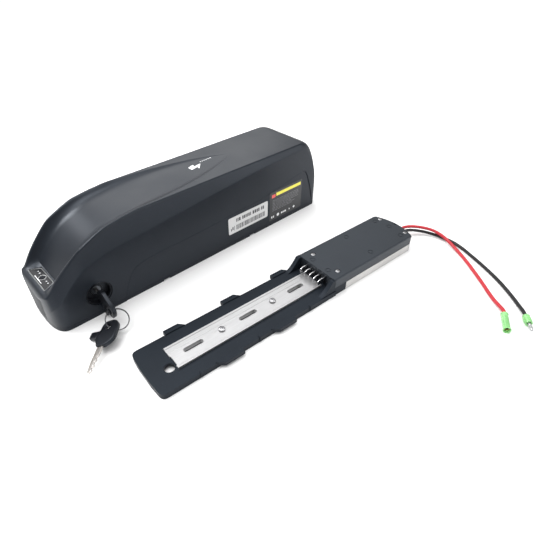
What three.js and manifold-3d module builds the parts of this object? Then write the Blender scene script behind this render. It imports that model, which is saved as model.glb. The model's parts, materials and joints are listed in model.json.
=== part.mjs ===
// A down-tube battery pack for an electric bicycle, lying beside its mounting cradle.
// Millimetres, +Z up. +X runs along the cradle towards the controller box, +Y across to the pack.
// The origin is on the floor, in the middle of the footprint without the two loose leads.
import * as THREE from "three";
import { mergeVertices } from "three/addons/utils/BufferGeometryUtils.js";
import Module from "manifold-3d";

const wasm = await Module();
wasm.setup();

// ---- Driving dimensions ----------------------------------------------------------------------

const GAP = 0.3; // between pieces that touch
const CRADLE_AT = [-118.3, -99.4]; // the first rail slot, seen from the origin
const PACK_AT = [-218.9, 62.4]; // the pack's own zero, seen from the origin
const PACK_YAW = 4.3; // degrees, the pack lies slightly askew to the cradle

// Pack case: X from nose to rear, Y across from the middle plane, Z up from its underside.
const NOSE_X = -12;
const REAR_X = 428;
const BASE_HALF = 45;
const SIDE_LEAN = 1 / 44; // how far a side leans out for each millimetre of height
const TOP_Z = 115;
const WALL = 2.5;
const SEAM_Z = 5; // joint between the upper and lower shell
const NOSE_ROUND = 20;
const REAR_ROUND = 16;
const NOSE_PANEL = { bottom: 7, top: 41, bottomHalf: 18, topHalf: 24, skin: 1.2 };
const PANEL_DEPTH = 0.6; // of the shallow panel in each side

// Underside of the pack: a shallow channel for the tray, then a deep bay for the controller box.
const CHANNEL = { x0: 19.5, x1: 262, half: 37.5, depth: 9.2 };
const BAY = { x0: 258, half: 36.5, depth: 27.2 };
const FLOOR_SHEET = 2.5;
const RIM_NOTCH = { x: [134, 284], half: 5, height: 2.2 };
const CASE_SCREW = {
  places: [[62, 42.1], [352, 41.7]], holeR: 1.6, headHoleR: 2.4, headR: 2.1, shankR: 1.2,
};

const DISPLAY = { front: -3.5, rear: 10.5, frontHalf: 25.5, rearHalf: 18.5, z: 51.6 };
const BUTTON = { x: 4, r: 3.6 };
const LOCK = { x: 46, z: 31, recessR: 16, recessFloor: -37, plugR: 6, plugEnd: -2 };
const BOLT = { x: 46, y: -8.5, r: 4.3, low: 9.6, high: 24 };
const KEY = { root: -44, blade: 34, bow: 36, thick: 5, hole: 27, holeR: 3.8, droop: 24 };
const RING = { r: 13, wire: 0.8, dip: 30, at: 73 };
const CHARGE = { x: 60, z: 22, holeR: 8.2, bodyR: 7.9, boreR: 3.6, capR: 9, capIn: 47, capOut: 49 };

const CELL = { r: 9.2, length: 65, pitch: 19.6 };
const FRONT_CELLS = { x: 92, z: 23.4, columns: 7, rows: 4 };
const REAR_CELLS = { x: 230.6, z: 41, columns: 4, rows: 3 };
const STRIP = { reach: 4, thick: 0.5 };
const BMS_X = 308;
const LABEL = { thick: 0.3, lift: 0.1 };

// Cradle: X along the rail from the first slot, Y across, Z up from the floor.
const TRAY = { x0: -60, half: 35, top: 7.5, corner: 9, lugHalf: 40.5 };
const SLOT = { pitch: 74, length: 25, width: 6, count: 3 };
const RAIL = { x0: -28, x1: 178, half: 16.3, bottom: 7.8, top: 10.2 };
const BOX = { x0: 183, x1: 338, bulge: 7, half: 34, split: 12.4, top: 26, wall: 2.2 };
const SINK = { x0: 205, x1: 334, half: 34, top: 12 };
const BLADE = { count: 5, pitch: 8, tip: 170, z0: 12.5, z1: 20.5, thick: 1 };
const COVER_SCREWS = { x: [199, 335], y: 22.4 };
const SADDLE_R = 30; // of the round hollow under the tray
const SINK_CHAMBER = { x1: 329, half: 29.5, floor: 3 };
const FAR_LUG = { x0: -16, pitch: 78, length: 19, taper: 6, count: 3 };
const NEAR_LUG = { x0: 15, pitch: 75, length: 25, taper: -9, count: 2 };
const EDGE_RIB = { x: [-12, 65, 142], half: 1, out: 1.2 };
const WING = { x0: 160, thick: 6, head: 5 };
const CONTACT_POCKET = { x1: 197, half: 20, top: 22.3 };
const TERMINAL_TOP = 22;
const LEAD_R = 2.25;
const SLEEVE_R = 4;
const LEAD_STEPS = 56;
const GROMMET = { x0: 337, x1: 350, y: -6, z: 13, half: 7.5, high: 5.6 };

// ---- Finishes --------------------------------------------------------------------------------

const FINISHES = {
  case: [0x34363b, 0.5, 0.0],
  case_grey: [0x6f7174, 0.5, 0.0],
  trim_grey: [0xb9bbbd, 0.4, 0.1],
  lens: [0x101114, 0.12, 0.0],
  rubber: [0x1b1c1e, 0.8, 0.0],
  steel: [0xc4c6c8, 0.3, 0.9],
  nickel: [0xcfc7bc, 0.35, 0.9],
  aluminium: [0xe2e3e5, 0.4, 0.8],
  copper: [0xd8b27a, 0.35, 0.9],
  cell: [0x3f7f6b, 0.45, 0.0],
  board: [0x1f5a37, 0.55, 0.0],
  foam: [0x2c2d30, 0.95, 0.0],
  paper: [0xe9e9e6, 0.6, 0.0],
  film: [0x141519, 0.4, 0.0],
  red: [0xc3333a, 0.45, 0.0],
  black: [0x1c1c1e, 0.5, 0.0],
  green: [0x8fdc7c, 0.4, 0.0],
};

function finish(name) {
  const [color, roughness, metalness] = FINISHES[name];
  return new THREE.MeshStandardMaterial({ color, roughness, metalness });
}

// ---- Solids ----------------------------------------------------------------------------------

const radians = THREE.MathUtils.degToRad;
const steps = (count) => Array.from({ length: count }, (_, i) => i);

function solid(geometry) {
  const bare = geometry.index ? geometry.toNonIndexed() : geometry.clone();
  bare.deleteAttribute("normal");
  bare.deleteAttribute("uv");
  const merged = mergeVertices(bare, 1e-4);
  const mesh = new wasm.Mesh({
    numProp: 3,
    vertProperties: merged.attributes.position.array,
    triVerts: new Uint32Array(merged.index.array),
  });
  return new wasm.Manifold(mesh);
}

function geometryOf(manifold) {
  const mesh = manifold.getMesh();
  const geometry = new THREE.BufferGeometry();
  geometry.setAttribute("position", new THREE.BufferAttribute(new Float32Array(mesh.vertProperties), 3));
  geometry.setIndex(new THREE.BufferAttribute(new Uint32Array(mesh.triVerts), 1));
  return geometry;
}

const cut = (body, ...tools) => tools.reduce((left, tool) => left.subtract(tool), body);
const join = (...bodies) => bodies.reduce((sum, body) => sum.add(body));

function block(x0, x1, y0, y1, z0, z1) {
  const geometry = new THREE.BoxGeometry(x1 - x0, y1 - y0, z1 - z0);
  return solid(geometry.translate((x0 + x1) / 2, (y0 + y1) / 2, (z0 + z1) / 2));
}

// A round bar from one end to the other along X, Y or Z.
function bar(axis, radius, from, to, a, b, sides = 12, endRadius = radius) {
  const geometry = new THREE.CylinderGeometry(endRadius, radius, to - from, sides);
  const middle = (from + to) / 2;
  if (axis === "x") return solid(geometry.rotateZ(-Math.PI / 2).translate(middle, a, b));
  if (axis === "y") return solid(geometry.translate(a, middle, b));
  return solid(geometry.rotateX(Math.PI / 2).translate(a, b, middle));
}

// An outline in X and Y, raised from z0 to z1.
function slab(outline, z0, z1, curveSegments = 6) {
  const options = { depth: z1 - z0, bevelEnabled: false, curveSegments };
  return solid(new THREE.ExtrudeGeometry(outline, options).translate(0, 0, z0));
}

const polygon = (points) => new THREE.Shape(points.map(([x, y]) => new THREE.Vector2(x, y)));

// A slot's outline along X, with round ends.
function roundedBar(x, reach, half) {
  const shape = new THREE.Shape();
  shape.absarc(x + reach - half, 0, half, -Math.PI / 2, Math.PI / 2, false);
  shape.absarc(x - reach + half, 0, half, Math.PI / 2, (3 * Math.PI) / 2, false);
  return shape;
}

// A closed skin through loops of points, all with the same number of points.
function loft(loops) {
  const count = loops[0].length;
  const positions = loops.flat().flatMap((point) => point.toArray());
  const index = [];
  for (let i = 0; i + 1 < loops.length; i += 1) {
    for (let j = 0; j < count; j += 1) {
      const next = (j + 1) % count;
      const [a, b] = [i * count + j, i * count + next];
      index.push(a, b, b + count, a, b + count, a + count);
    }
  }
  const cap = (loop, offset, flip) => {
    const flat = loop.map((point) => new THREE.Vector2(point.y, point.z));
    for (const [a, b, c] of THREE.ShapeUtils.triangulateShape(flat, [])) {
      index.push(offset + a, offset + (flip ? c : b), offset + (flip ? b : c));
    }
  };
  cap(loops[0], 0, true);
  cap(loops.at(-1), (loops.length - 1) * count, false);
  const geometry = new THREE.BufferGeometry();
  geometry.setAttribute("position", new THREE.Float32BufferAttribute(positions, 3));
  geometry.setIndex(index);
  return solid(geometry);
}

// Straight lines through knots of [x, value].
function through(knots) {
  return (x) => {
    if (x <= knots[0][0]) return knots[0][1];
    for (let i = 1; i < knots.length; i += 1) {
      const [x0, v0] = knots[i - 1];
      const [x1, v1] = knots[i];
      if (x <= x1) return v0 + ((v1 - v0) * (x - x0)) / (x1 - x0);
    }
    return knots.at(-1)[1];
  };
}

// ---- The pack's outer form -------------------------------------------------------------------

const crestZ = through([
  [-12, 41], [-10.5, 46], [-8, 49.5], [-3, 51.6], [2, 59], [8, 66], [17, 75], [29, 86], [40, 95],
  [60, 104.5], [72, 109.3], [94, 112.8], [116, TOP_Z], [388, TOP_Z], [396, 112.6], [404, 107],
  [411, 97.5], [417, 83], [422, 62], [425, 44], [427, 27],
]);
const dishZ = through([
  [-3, 51.6], [11, 51.6], [17, 58.5], [29, 72], [40, 82], [54, 92], [70, 99.5], [85, 104], [100, 106.6],
  [134, 109.8], [170, 111.6], [220, 113.3], [286, TOP_Z],
]);
const crestHalf = through([
  [-4, 35], [8, 37.5], [17, 39.5], [29, 41.5], [40, 42.4], [116, 41.6], [240, 42], [330, 43.2],
  [384, 43.4], [394, 42], [401, 39.5], [407, 35.5], [412, 30.5], [417, 24.5], [422, 17], [427, 10],
]);
const dishHalf = through([
  [-4, 32.5], [8, 35], [17, 37], [29, 39.5], [40, 41], [116, 40.5], [150, 38.5], [170, 36.5], [192, 33],
  [213, 28.5], [233, 23], [250, 17], [264, 11.5], [277, 5], [286, 0.8],
]);
const creaseZ = through([
  [-12, 18], [-6, 32], [8, 46], [17, 56], [29, 65], [40, 72], [60, 78], [78, 81], [177, 91], [304, 103],
  [385, 106], [394, 104], [402, 98.5], [409, 88], [415, 71], [420, 52], [424, 37], [427, 24.5],
]);
const undersideZ = through([[418, 0], [421, 4], [424, 12], [427, 20]]);
const STATIONS = [
  -11.4, -10.3, -8, -4, 2, 11, 17, 29, 40, 54, 72, 94, 116, 150, 192, 213, 233, 250, 264, 277, 286,
  330, 388, 396, 402, 407, 411, 415, 418, 421, 424,
];

// Half the width of the plan outline, with a squarish round at both ends.
function planHalf(x, inset) {
  const noseStart = NOSE_X + NOSE_ROUND;
  const rearStart = REAR_X - REAR_ROUND;
  const half = BASE_HALF - inset;
  if (x < noseStart) return half * (1 - ((noseStart - x) / (NOSE_ROUND - inset)) ** 2.9) ** (1 / 2.9);
  if (x > rearStart) return half * (1 - ((x - rearStart) / (REAR_ROUND - inset)) ** 3) ** (1 / 3);
  return half;
}

// One cross-section of the case, moved inwards by inset, as a loop from the base over the top.
function caseSection(x, inset) {
  const lowest = (height) => Math.min(height(x - inset), height(x), height(x + inset)) - inset;
  const base = planHalf(x, inset);
  const crest = Math.min(crestHalf(x) - inset, base - 1);
  const dish = Math.max(Math.min(dishHalf(x) + inset, crest - 1.5), 0.5);
  const top = lowest(crestZ);
  const dished = x > -4 && x < 286;
  const depth = dished ? Math.max(top - lowest(dishZ), 0) : 0;
  const crease = Math.min(creaseZ(x), top - 3);
  const half = [
    [base, inset > 0 ? -10 : undersideZ(x)],
    [base + crease * SIDE_LEAN, crease],
    [crest + Math.min(1.5, base - crest), top - 2],
    [crest, top],
    [dish, top],
    [dish * 0.9, top - depth * 0.55],
    [dish * 0.75, top - depth * 0.93],
  ];
  const right = half.map(([y, z]) => new THREE.Vector3(x, y, z));
  const left = half.map(([y, z]) => new THREE.Vector3(x, -y, z)).reverse();
  return [...right, new THREE.Vector3(x, 0, top - depth), ...left];
}

function caseForm(inset = 0) {
  const [first, last] = [NOSE_X + inset + 0.1, REAR_X - inset - 1];
  const between = STATIONS.filter((x) => x > first + 0.2 && x < last - 0.2);
  return loft([first, ...between, last].map((x) => caseSection(x, inset)));
}

// ---- Placing ---------------------------------------------------------------------------------

const root = new THREE.Group();
const cradle = new THREE.Group();
const pack = new THREE.Group();
cradle.position.set(CRADLE_AT[0], CRADLE_AT[1], 0);
pack.position.set(PACK_AT[0], PACK_AT[1], 0);
pack.rotation.z = radians(PACK_YAW);
root.add(cradle, pack);

function add(group, name, shape, finishName) {
  const geometry = shape.isBufferGeometry ? shape : geometryOf(shape);
  const mesh = new THREE.Mesh(geometry, finish(finishName));
  mesh.name = name;
  group.add(mesh);
  return mesh;
}

// ---- Pack: shells ----------------------------------------------------------------------------

const caseScrews = CASE_SCREW.places.flatMap(([x, y]) => [[x, y], [x, -y]]);
const outer = caseForm();
const inner = caseForm(WALL);

const displayOutline = (grow) => {
  const { front, rear, frontHalf, rearHalf } = DISPLAY;
  return polygon([
    [front - grow, -frontHalf - grow], [rear + grow, -rearHalf - grow],
    [rear + grow, rearHalf + grow], [front - grow, frontHalf + grow],
  ]);
};

// The nose insert's outline as seen from the front, pushed through the nose.
function noseWedge(grow) {
  const bottomHalf = NOSE_PANEL.bottomHalf + grow;
  const topHalf = NOSE_PANEL.topHalf + grow;
  const [z0, z1] = [NOSE_PANEL.bottom - grow, NOSE_PANEL.top + grow];
  const outline = polygon([[-bottomHalf, z0], [bottomHalf, z0], [topHalf, z1], [-topHalf, z1]]);
  const geometry = new THREE.ExtrudeGeometry(outline, { depth: 14, bevelEnabled: false });
  return solid(geometry.rotateX(Math.PI / 2).rotateZ(Math.PI / 2).translate(NOSE_X - 4, 0, 0));
}

// The edge of the shallow panel in each side, as X and Z.
const PANEL_EDGE = [
  [74.6, -3], [75.6, 8], [81.5, 25], [92, 40.5], [98, 44.2], [106, 46.4], [129, 49], [170, 49.4],
  [210, 50.6], [254, 53.6], [301, 55.6], [326, 59.6], [352, 64], [376, 68.4], [386, 69.8], [391, 69],
  [395.5, 66], [407, 39], [415, 10], [417.3, -3],
];

// A slab outside the panel's floor, leaning with the side, to be cut from the case.
function sidePanel(side) {
  const depth = 8;
  const geometry = new THREE.ExtrudeGeometry(polygon(PANEL_EDGE), { depth, bevelEnabled: false });
  const floor = BASE_HALF - PANEL_DEPTH;
  const lean = new THREE.Matrix4().makeShear(0, 0, 0, 0, 0, side * SIDE_LEAN);
  geometry.rotateX(Math.PI / 2).translate(0, side > 0 ? floor + depth : -floor, 0);
  return solid(geometry.applyMatrix4(lean));
}

function upperShell() {
  const above = block(NOSE_X - 5, REAR_X + 5, -60, 60, SEAM_Z + GAP / 2, TOP_Z + 5);
  const bosses = CASE_SCREW.places.flatMap(([x, y]) => {
    const [inside, outside] = [y - 1.9, y + 2.3];
    const [z0, z1] = [SEAM_Z + GAP / 2, 20];
    return [
      block(x - 3.5, x + 3.5, inside, outside, z0, z1),
      block(x - 3.5, x + 3.5, -outside, -inside, z0, z1),
    ];
  });
  const noseSkin = noseWedge(GAP).subtract(caseForm(NOSE_PANEL.skin + 0.4));
  const bayHalf = BAY.half + FLOOR_SHEET + GAP;
  const shell = join(outer.subtract(inner).intersect(above), ...bosses);
  return cut(
    shell,
    ...caseScrews.map(([x, y]) => bar("z", CASE_SCREW.holeR, 4, 16, x, y, 8)),
    noseSkin,
    sidePanel(1),
    sidePanel(-1),
    slab(displayOutline(GAP), 40, 60),
    bar("y", LOCK.recessR, -60, -30, LOCK.x, LOCK.z, 24),
    bar("y", CHARGE.holeR, 30, 60, CHARGE.x, CHARGE.z, 16),
    block(BAY.x0 + 60, REAR_X + 10, -bayHalf, bayHalf, -5, BAY.depth + FLOOR_SHEET + GAP),
  );
}

// The tray's plan outline, also used for the channel that it lies in.
function trayOutline(x0, x1, half, corner) {
  const shape = new THREE.Shape();
  shape.moveTo(x1, -half);
  shape.lineTo(x1, half);
  shape.lineTo(x0 + corner, half);
  shape.quadraticCurveTo(x0 + corner * 0.25, half, x0 + corner * 0.2, half - corner * 0.8);
  shape.quadraticCurveTo(x0 - 1, 0, x0 + corner * 0.2, -half + corner * 0.8);
  shape.quadraticCurveTo(x0 + corner * 0.25, -half, x0 + corner, -half);
  return shape;
}

const socketWindow = block(BAY.x0 - 8, BAY.x0 + 4, -20, 20, 12.4, 23);

function lowerShell() {
  const below = block(NOSE_X - 5, REAR_X + 5, -60, 60, -1, SEAM_Z - GAP / 2);
  const frontRoof = slab(
    trayOutline(CHANNEL.x0 - FLOOR_SHEET, CHANNEL.x1, CHANNEL.half + FLOOR_SHEET, 9),
    0, CHANNEL.depth + FLOOR_SHEET,
  );
  const bayRoof = block(
    BAY.x0 - FLOOR_SHEET, REAR_X, -BAY.half - FLOOR_SHEET, BAY.half + FLOOR_SHEET,
    0, BAY.depth + FLOOR_SHEET,
  ).intersect(outer);
  const notches = RIM_NOTCH.x.flatMap((x) => {
    const [x0, x1] = [x - RIM_NOTCH.half, x + RIM_NOTCH.half];
    return [
      block(x0, x1, -BASE_HALF - 5, -CHANNEL.half + 1, -1, RIM_NOTCH.height),
      block(x0, x1, CHANNEL.half - 1, BASE_HALF + 5, -1, RIM_NOTCH.height),
    ];
  });
  const screwHoles = caseScrews.flatMap(([x, y]) => [
    bar("z", CASE_SCREW.holeR, -1, 6, x, y, 8),
    bar("z", CASE_SCREW.headHoleR, -1, 2.6, x, y, 8),
  ]);
  return cut(
    join(outer.intersect(below), frontRoof, bayRoof),
    slab(trayOutline(CHANNEL.x0, CHANNEL.x1, CHANNEL.half, 9), -1, CHANNEL.depth),
    block(BAY.x0, REAR_X + 20, -BAY.half, BAY.half, -1, BAY.depth),
    socketWindow,
    bar("z", BOLT.r + 2 * GAP, 0, 20, BOLT.x, BOLT.y, 16),
    sidePanel(1),
    sidePanel(-1),
    ...notches,
    ...screwHoles,
  );
}

add(pack, "upper_shell", upperShell(), "case");
add(pack, "lower_shell", lowerShell(), "case");
const nosePanel = outer.intersect(noseWedge(0)).subtract(caseForm(NOSE_PANEL.skin));
add(pack, "nose_panel", nosePanel, "case_grey");

caseScrews.forEach(([x, y], i) => {
  const { headR, shankR } = CASE_SCREW;
  const screw = join(bar("z", headR, 0.5, 2.2, x, y, 8), bar("z", shankR, 2, 14, x, y, 8));
  add(pack, `case_screw_${i + 1}`, screw, "steel");
});

// ---- Pack: display ---------------------------------------------------------------------------

const displayBack = DISPLAY.z - 2.4;
const ledgeTop = displayBack + 0.8;
const bezel = cut(
  slab(displayOutline(0), displayBack, DISPLAY.z + 0.4),
  slab(displayOutline(-1.8), ledgeTop, DISPLAY.z + 2),
  slab(displayOutline(-3.4), displayBack - 1, DISPLAY.z + 2),
  bar("z", BUTTON.r + GAP, displayBack - 1, DISPLAY.z + 2, BUTTON.x, 0, 16),
);
const lens = cut(
  slab(displayOutline(-1.8 - GAP), ledgeTop + GAP, DISPLAY.z),
  bar("z", BUTTON.r + GAP, displayBack, DISPLAY.z + 2, BUTTON.x, 0, 16),
);
const button = bar("z", BUTTON.r, DISPLAY.z - 1.6, DISPLAY.z + 0.6, BUTTON.x, 0, 16);
add(pack, "display_bezel", bezel, "trim_grey");
add(pack, "display_lens", lens, "lens");
add(pack, "display_button", button, "case_grey");
add(pack, "display_board", block(-1.5, 9, -17, 17, DISPLAY.z - 5, DISPLAY.z - 3.4), "board");

// ---- Pack: lock and keys ---------------------------------------------------------------------

const lockHousing = cut(
  bar("y", LOCK.recessR - GAP, -44.6, -24, LOCK.x, LOCK.z, 24),
  bar("y", LOCK.recessR - 2.2, -60, LOCK.recessFloor, LOCK.x, LOCK.z, 24),
  bar("y", LOCK.plugR + GAP, -60, 0, LOCK.x, LOCK.z, 24),
);
add(pack, "lock_housing", lockHousing, "black");

// The key in its own frame: X from the blade to the bow's end, Y across the bow, Z its thickness.
const bladeProfile = polygon([
  [1, -3.6], [1, 3.6], [-20, 3.6], [-26, 2.6], [-31, 2.6], [-KEY.blade, 0.4], [-KEY.blade + 0.5, -1.4],
  [-30, -2.6], [-27.5, -1.6], [-24.5, -3], [-21, -1.7], [-17.5, -3.2], [-14, -2], [-10, -3.6],
]);
const bowOutline = polygon([
  [0, -5.5], [4, -12], [10, -15.5], [29, -14], [KEY.bow, -8], [KEY.bow, 4], [32, 8.5], [22.5, 9],
  [22.5, 21], [13.5, 21], [13.5, 11.5], [9, 10.5], [5, 7.5], [0, 5],
]);

function keyBow(droop) {
  const bevel = 1.2;
  const plate = new THREE.ExtrudeGeometry(bowOutline, {
    depth: KEY.thick - 2 * bevel,
    bevelThickness: bevel,
    bevelSize: bevel,
    bevelOffset: -bevel,
    bevelSegments: 1,
  });
  const bow = solid(plate.translate(0, 0, bevel - KEY.thick / 2));
  const hole = bar("z", KEY.holeR, -10, 10, KEY.hole, 0, 12);
  const tang = block(-4, 1 + GAP, -3.6 - GAP, 3.6 + GAP, -1 - GAP, 1 + GAP);
  return cut(bow.subtract(hole).rotate([0, 0, droop]), tang);
}

// Places a key by its X and Z directions and the place of its bow's hole.
function keyFrame(along, normal, hole) {
  const across = new THREE.Vector3().crossVectors(normal, along);
  const start = hole.clone().addScaledVector(along, -KEY.hole);
  return new THREE.Matrix4().makeBasis(along, across, normal).setPosition(start);
}

function addKey(name, matrix, droop) {
  const holder = new THREE.Group();
  holder.applyMatrix4(matrix);
  pack.add(holder);
  add(holder, `${name}_blade`, slab(bladeProfile, -1, 1), "nickel");
  add(holder, `${name}_bow`, keyBow(droop), "black");
}

// The key in the lock stands upright, and its bow hangs down a little on its blade.
const packX = new THREE.Vector3(1, 0, 0);
const keyOut = new THREE.Vector3(0, -1, 0);
const keyRoot = new THREE.Vector3(LOCK.x, KEY.root, LOCK.z);
const keyPlace = keyFrame(keyOut, packX, keyRoot.clone().addScaledVector(keyOut, KEY.hole));
addKey("key", keyPlace, KEY.droop);

const keySlot = new THREE.BoxGeometry(KEY.blade + 8, 7.2 + 2 * GAP, 2 + 2 * GAP);
const keyway = solid(keySlot.translate(-KEY.blade / 2 + 2, 0, 0).applyMatrix4(keyPlace));
const plug = bar("y", LOCK.plugR, LOCK.recessFloor - 0.5, LOCK.plugEnd, LOCK.x, LOCK.z, 16);
add(pack, "lock_plug", plug.subtract(keyway), "steel");
add(pack, "lock_bolt", bar("z", BOLT.r, BOLT.low, BOLT.high, BOLT.x, BOLT.y, 16), "steel");

// A direction between straight out from the case and straight down.
function downwards(degrees) {
  const [out, down] = [Math.cos(radians(degrees)), Math.sin(radians(degrees))];
  return new THREE.Vector3(0, -out, -down);
}

// The split ring passes through the key's hole and hangs outwards from it.
const keyHole = keyRoot.clone().addScaledVector(downwards(KEY.droop), KEY.hole);
const ringDown = downwards(RING.dip);
const ringNormal = new THREE.Vector3().crossVectors(ringDown, packX);
const ringCentre = keyHole.clone().addScaledVector(ringDown, RING.r);
const ringTurn = new THREE.Matrix4().makeBasis(packX, ringNormal.clone().cross(packX), ringNormal);
const ring = new THREE.TorusGeometry(RING.r, RING.wire, 6, 28);
add(pack, "key_ring", ring.applyMatrix4(ringTurn.setPosition(ringCentre)), "steel");

// The spare key lies slanting on the floor, with its hole round the ring's nose side.
const spareAt = radians(RING.at);
const spareHole = ringCentre
  .clone()
  .addScaledVector(ringDown, RING.r * Math.cos(spareAt))
  .addScaledVector(packX, -RING.r * Math.sin(spareAt));
const spareAlong = new THREE.Vector3(0.74, 0.66, 0.08).normalize();
const spareFace = new THREE.Vector3(-0.187, 0.53, 1.306);
const spareNormal = spareFace.addScaledVector(spareAlong, -spareFace.dot(spareAlong)).normalize();
addKey("spare_key", keyFrame(spareAlong, spareNormal, spareHole), 0);

// ---- Pack: charging socket -------------------------------------------------------------------

const chargeBody = cut(
  bar("y", CHARGE.bodyR, 30, 45.2, CHARGE.x, CHARGE.z, 16),
  bar("y", CHARGE.boreR, 34, 60, CHARGE.x, CHARGE.z, 12),
);
const chargePin = bar("y", 1.1, 33, 42, CHARGE.x, CHARGE.z, 8);
add(pack, "charge_socket", join(chargeBody, chargePin), "black");
const capTop = CHARGE.z + CHARGE.capR + 3;
const capDisc = join(
  bar("y", CHARGE.capR, CHARGE.capIn, CHARGE.capOut, CHARGE.x, CHARGE.z, 20),
  block(CHARGE.x - 4, CHARGE.x + 4, CHARGE.capIn, CHARGE.capOut, CHARGE.z, capTop),
);
const capPlug = cut(
  bar("y", CHARGE.boreR - 2 * GAP, 44, CHARGE.capIn + 0.5, CHARGE.x, CHARGE.z, 12),
  bar("y", 1.7, 40, CHARGE.capIn - 0.5, CHARGE.x, CHARGE.z, 12),
);
add(pack, "charge_cap", join(capDisc, capPlug), "rubber");

// ---- Pack: cells, electronics and packing ----------------------------------------------------

// Cells lie across the pack, joined by a nickel strip at each end.
function cellGroup(places) {
  const half = CELL.length / 2;
  const cells = places.map(([x, z]) => bar("y", CELL.r, -half, half, x, z, 10));
  const [xs, zs] = [places.map(([x]) => x), places.map(([, z]) => z)];
  const [x0, x1] = [Math.min(...xs) - STRIP.reach, Math.max(...xs) + STRIP.reach];
  const [z0, z1] = [Math.min(...zs) - STRIP.reach, Math.max(...zs) + STRIP.reach];
  const [inside, outside] = [half - 0.1, half + STRIP.thick];
  return join(
    ...cells,
    block(x0, x1, inside, outside, z0, z1),
    block(x0, x1, -outside, -inside, z0, z1),
  );
}

const uprightGroups = steps(FRONT_CELLS.columns).map((column) =>
  steps(FRONT_CELLS.rows).map((row) => [
    FRONT_CELLS.x + column * CELL.pitch,
    FRONT_CELLS.z + row * CELL.pitch,
  ]),
);
const levelGroups = steps(REAR_CELLS.rows).map((row) =>
  steps(REAR_CELLS.columns).map((column) => [
    REAR_CELLS.x + column * CELL.pitch,
    REAR_CELLS.z + row * CELL.pitch,
  ]),
);
[...uprightGroups, ...levelGroups].forEach((places, i) => {
  add(pack, `cell_group_${String(i + 1).padStart(2, "0")}`, cellGroup(places), "cell");
});

// The battery's control board, with its heat spreader and two tall parts.
const bmsBoard = join(
  block(BMS_X, BMS_X + 1.6, -32, 32, 34, 94),
  block(BMS_X + 1.5, BMS_X + 6, -28, 28, 40, 52),
  block(BMS_X + 1.5, BMS_X + 11, -20, -8, 60, 66),
  block(BMS_X + 1.5, BMS_X + 8, 4, 24, 66, 80),
);
add(pack, "bms_board", bmsBoard, "board");
add(pack, "foam_spacer", block(328, 384, -33, 33, 32, 92), "foam");

// The socket that the five blades of the cradle enter.
const bladeYs = steps(BLADE.count).map((i) => (i - (BLADE.count - 1) / 2) * BLADE.pitch);
const dischargeSocket = cut(
  join(
    block(BAY.x0 - 22, BAY.x0 - 3, -24, 24, 12.1, 26.5),
    block(BAY.x0 - 4, BAY.x0 + 1, -19.6, 19.6, 12.8, 22.6),
  ),
  ...bladeYs.map((y) => block(BAY.x0 - 18, BAY.x0 + 8, y - 1.2, y + 1.2, BLADE.z0 + 1, BLADE.z1 + 1)),
);
add(pack, "discharge_socket", dischargeSocket, "black");

// A thin label that lies on the floor of the near side's shallow panel.
function label(x0, x1, z0, z1) {
  const geometry = new THREE.BoxGeometry(x1 - x0, LABEL.thick, z1 - z0);
  const z = (z0 + z1) / 2;
  const y = BASE_HALF - PANEL_DEPTH + z * SIDE_LEAN + LABEL.lift + LABEL.thick / 2;
  return solid(geometry.rotateX(Math.atan(SIDE_LEAN)).translate((x0 + x1) / 2, -y, z));
}

add(pack, "rating_label", label(240, 315, 20, 47), "paper");
add(pack, "info_label", label(319, 388, 8, 57), "film");

// ---- Cradle: tray, rail and screws -----------------------------------------------------------

const slotCentres = steps(SLOT.count).map((i) => i * SLOT.pitch);
const railScrews = slotCentres.slice(0, -1).map((x) => x + SLOT.pitch / 2);
const screwPlaces = COVER_SCREWS.x.flatMap((x) => [[x, COVER_SCREWS.y], [x, -COVER_SCREWS.y]]);
const slotTools = (grow) =>
  slotCentres.map((x) =>
    slab(roundedBar(x, SLOT.length / 2 + grow, SLOT.width / 2 + grow), -5, 15, 8),
  );

// Lugs along one edge of the tray, each square at one end and tapered at the other.
function lugs({ x0, pitch, length, taper, count }, side) {
  return steps(count).map((i) => {
    const ends = [x0 + pitch * i, x0 + pitch * i + length];
    const [blunt, fine] = taper > 0 ? ends : ends.reverse();
    const outline = polygon([
      [blunt, side * (TRAY.half - 1)], [blunt, side * TRAY.lugHalf],
      [fine, side * TRAY.lugHalf], [fine + taper, side * (TRAY.half - 1)],
    ]);
    return slab(outline, 3.5, TRAY.top + 1.5);
  });
}

function boxOutline(inset, x0 = BOX.x0) {
  const half = BOX.half - inset;
  const x1 = BOX.x1 - inset;
  const corner = 5;
  const shape = new THREE.Shape();
  shape.moveTo(x0 + inset, -half);
  shape.lineTo(x1 - corner, -half);
  shape.quadraticCurveTo(x1, -half, x1 + 1, -half + corner);
  shape.quadraticCurveTo(x1 + BOX.bulge * 2 - 1, 0, x1 + 1, half - corner);
  shape.quadraticCurveTo(x1, half, x1 - corner, half);
  shape.lineTo(x0 + inset, half);
  return shape;
}

// The two wings rise in a hollow curve from the tray to the controller box.
function wing(side) {
  const [x0, x1, z1] = [WING.x0, BOX.x0 + 1, BOX.top - 1];
  const shape = new THREE.Shape();
  shape.moveTo(x0, 2);
  shape.lineTo(x1, 2);
  shape.lineTo(x1, z1);
  shape.lineTo(x1 - WING.head, z1);
  shape.quadraticCurveTo(x0 + 9, TRAY.top + 3, x0, TRAY.top);
  const options = { depth: WING.thick, bevelEnabled: false, curveSegments: 5 };
  const geometry = new THREE.ExtrudeGeometry(shape, options);
  geometry.rotateX(Math.PI / 2).translate(0, side > 0 ? BOX.half : -BOX.half + WING.thick, 0);
  return solid(geometry);
}

const grommetHole = (grow) =>
  block(
    GROMMET.x0 - grow, GROMMET.x1 + 5, GROMMET.y - GROMMET.half - grow, GROMMET.y + GROMMET.half + grow,
    GROMMET.z - GROMMET.high - grow, GROMMET.z + GROMMET.high + grow,
  );

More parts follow.
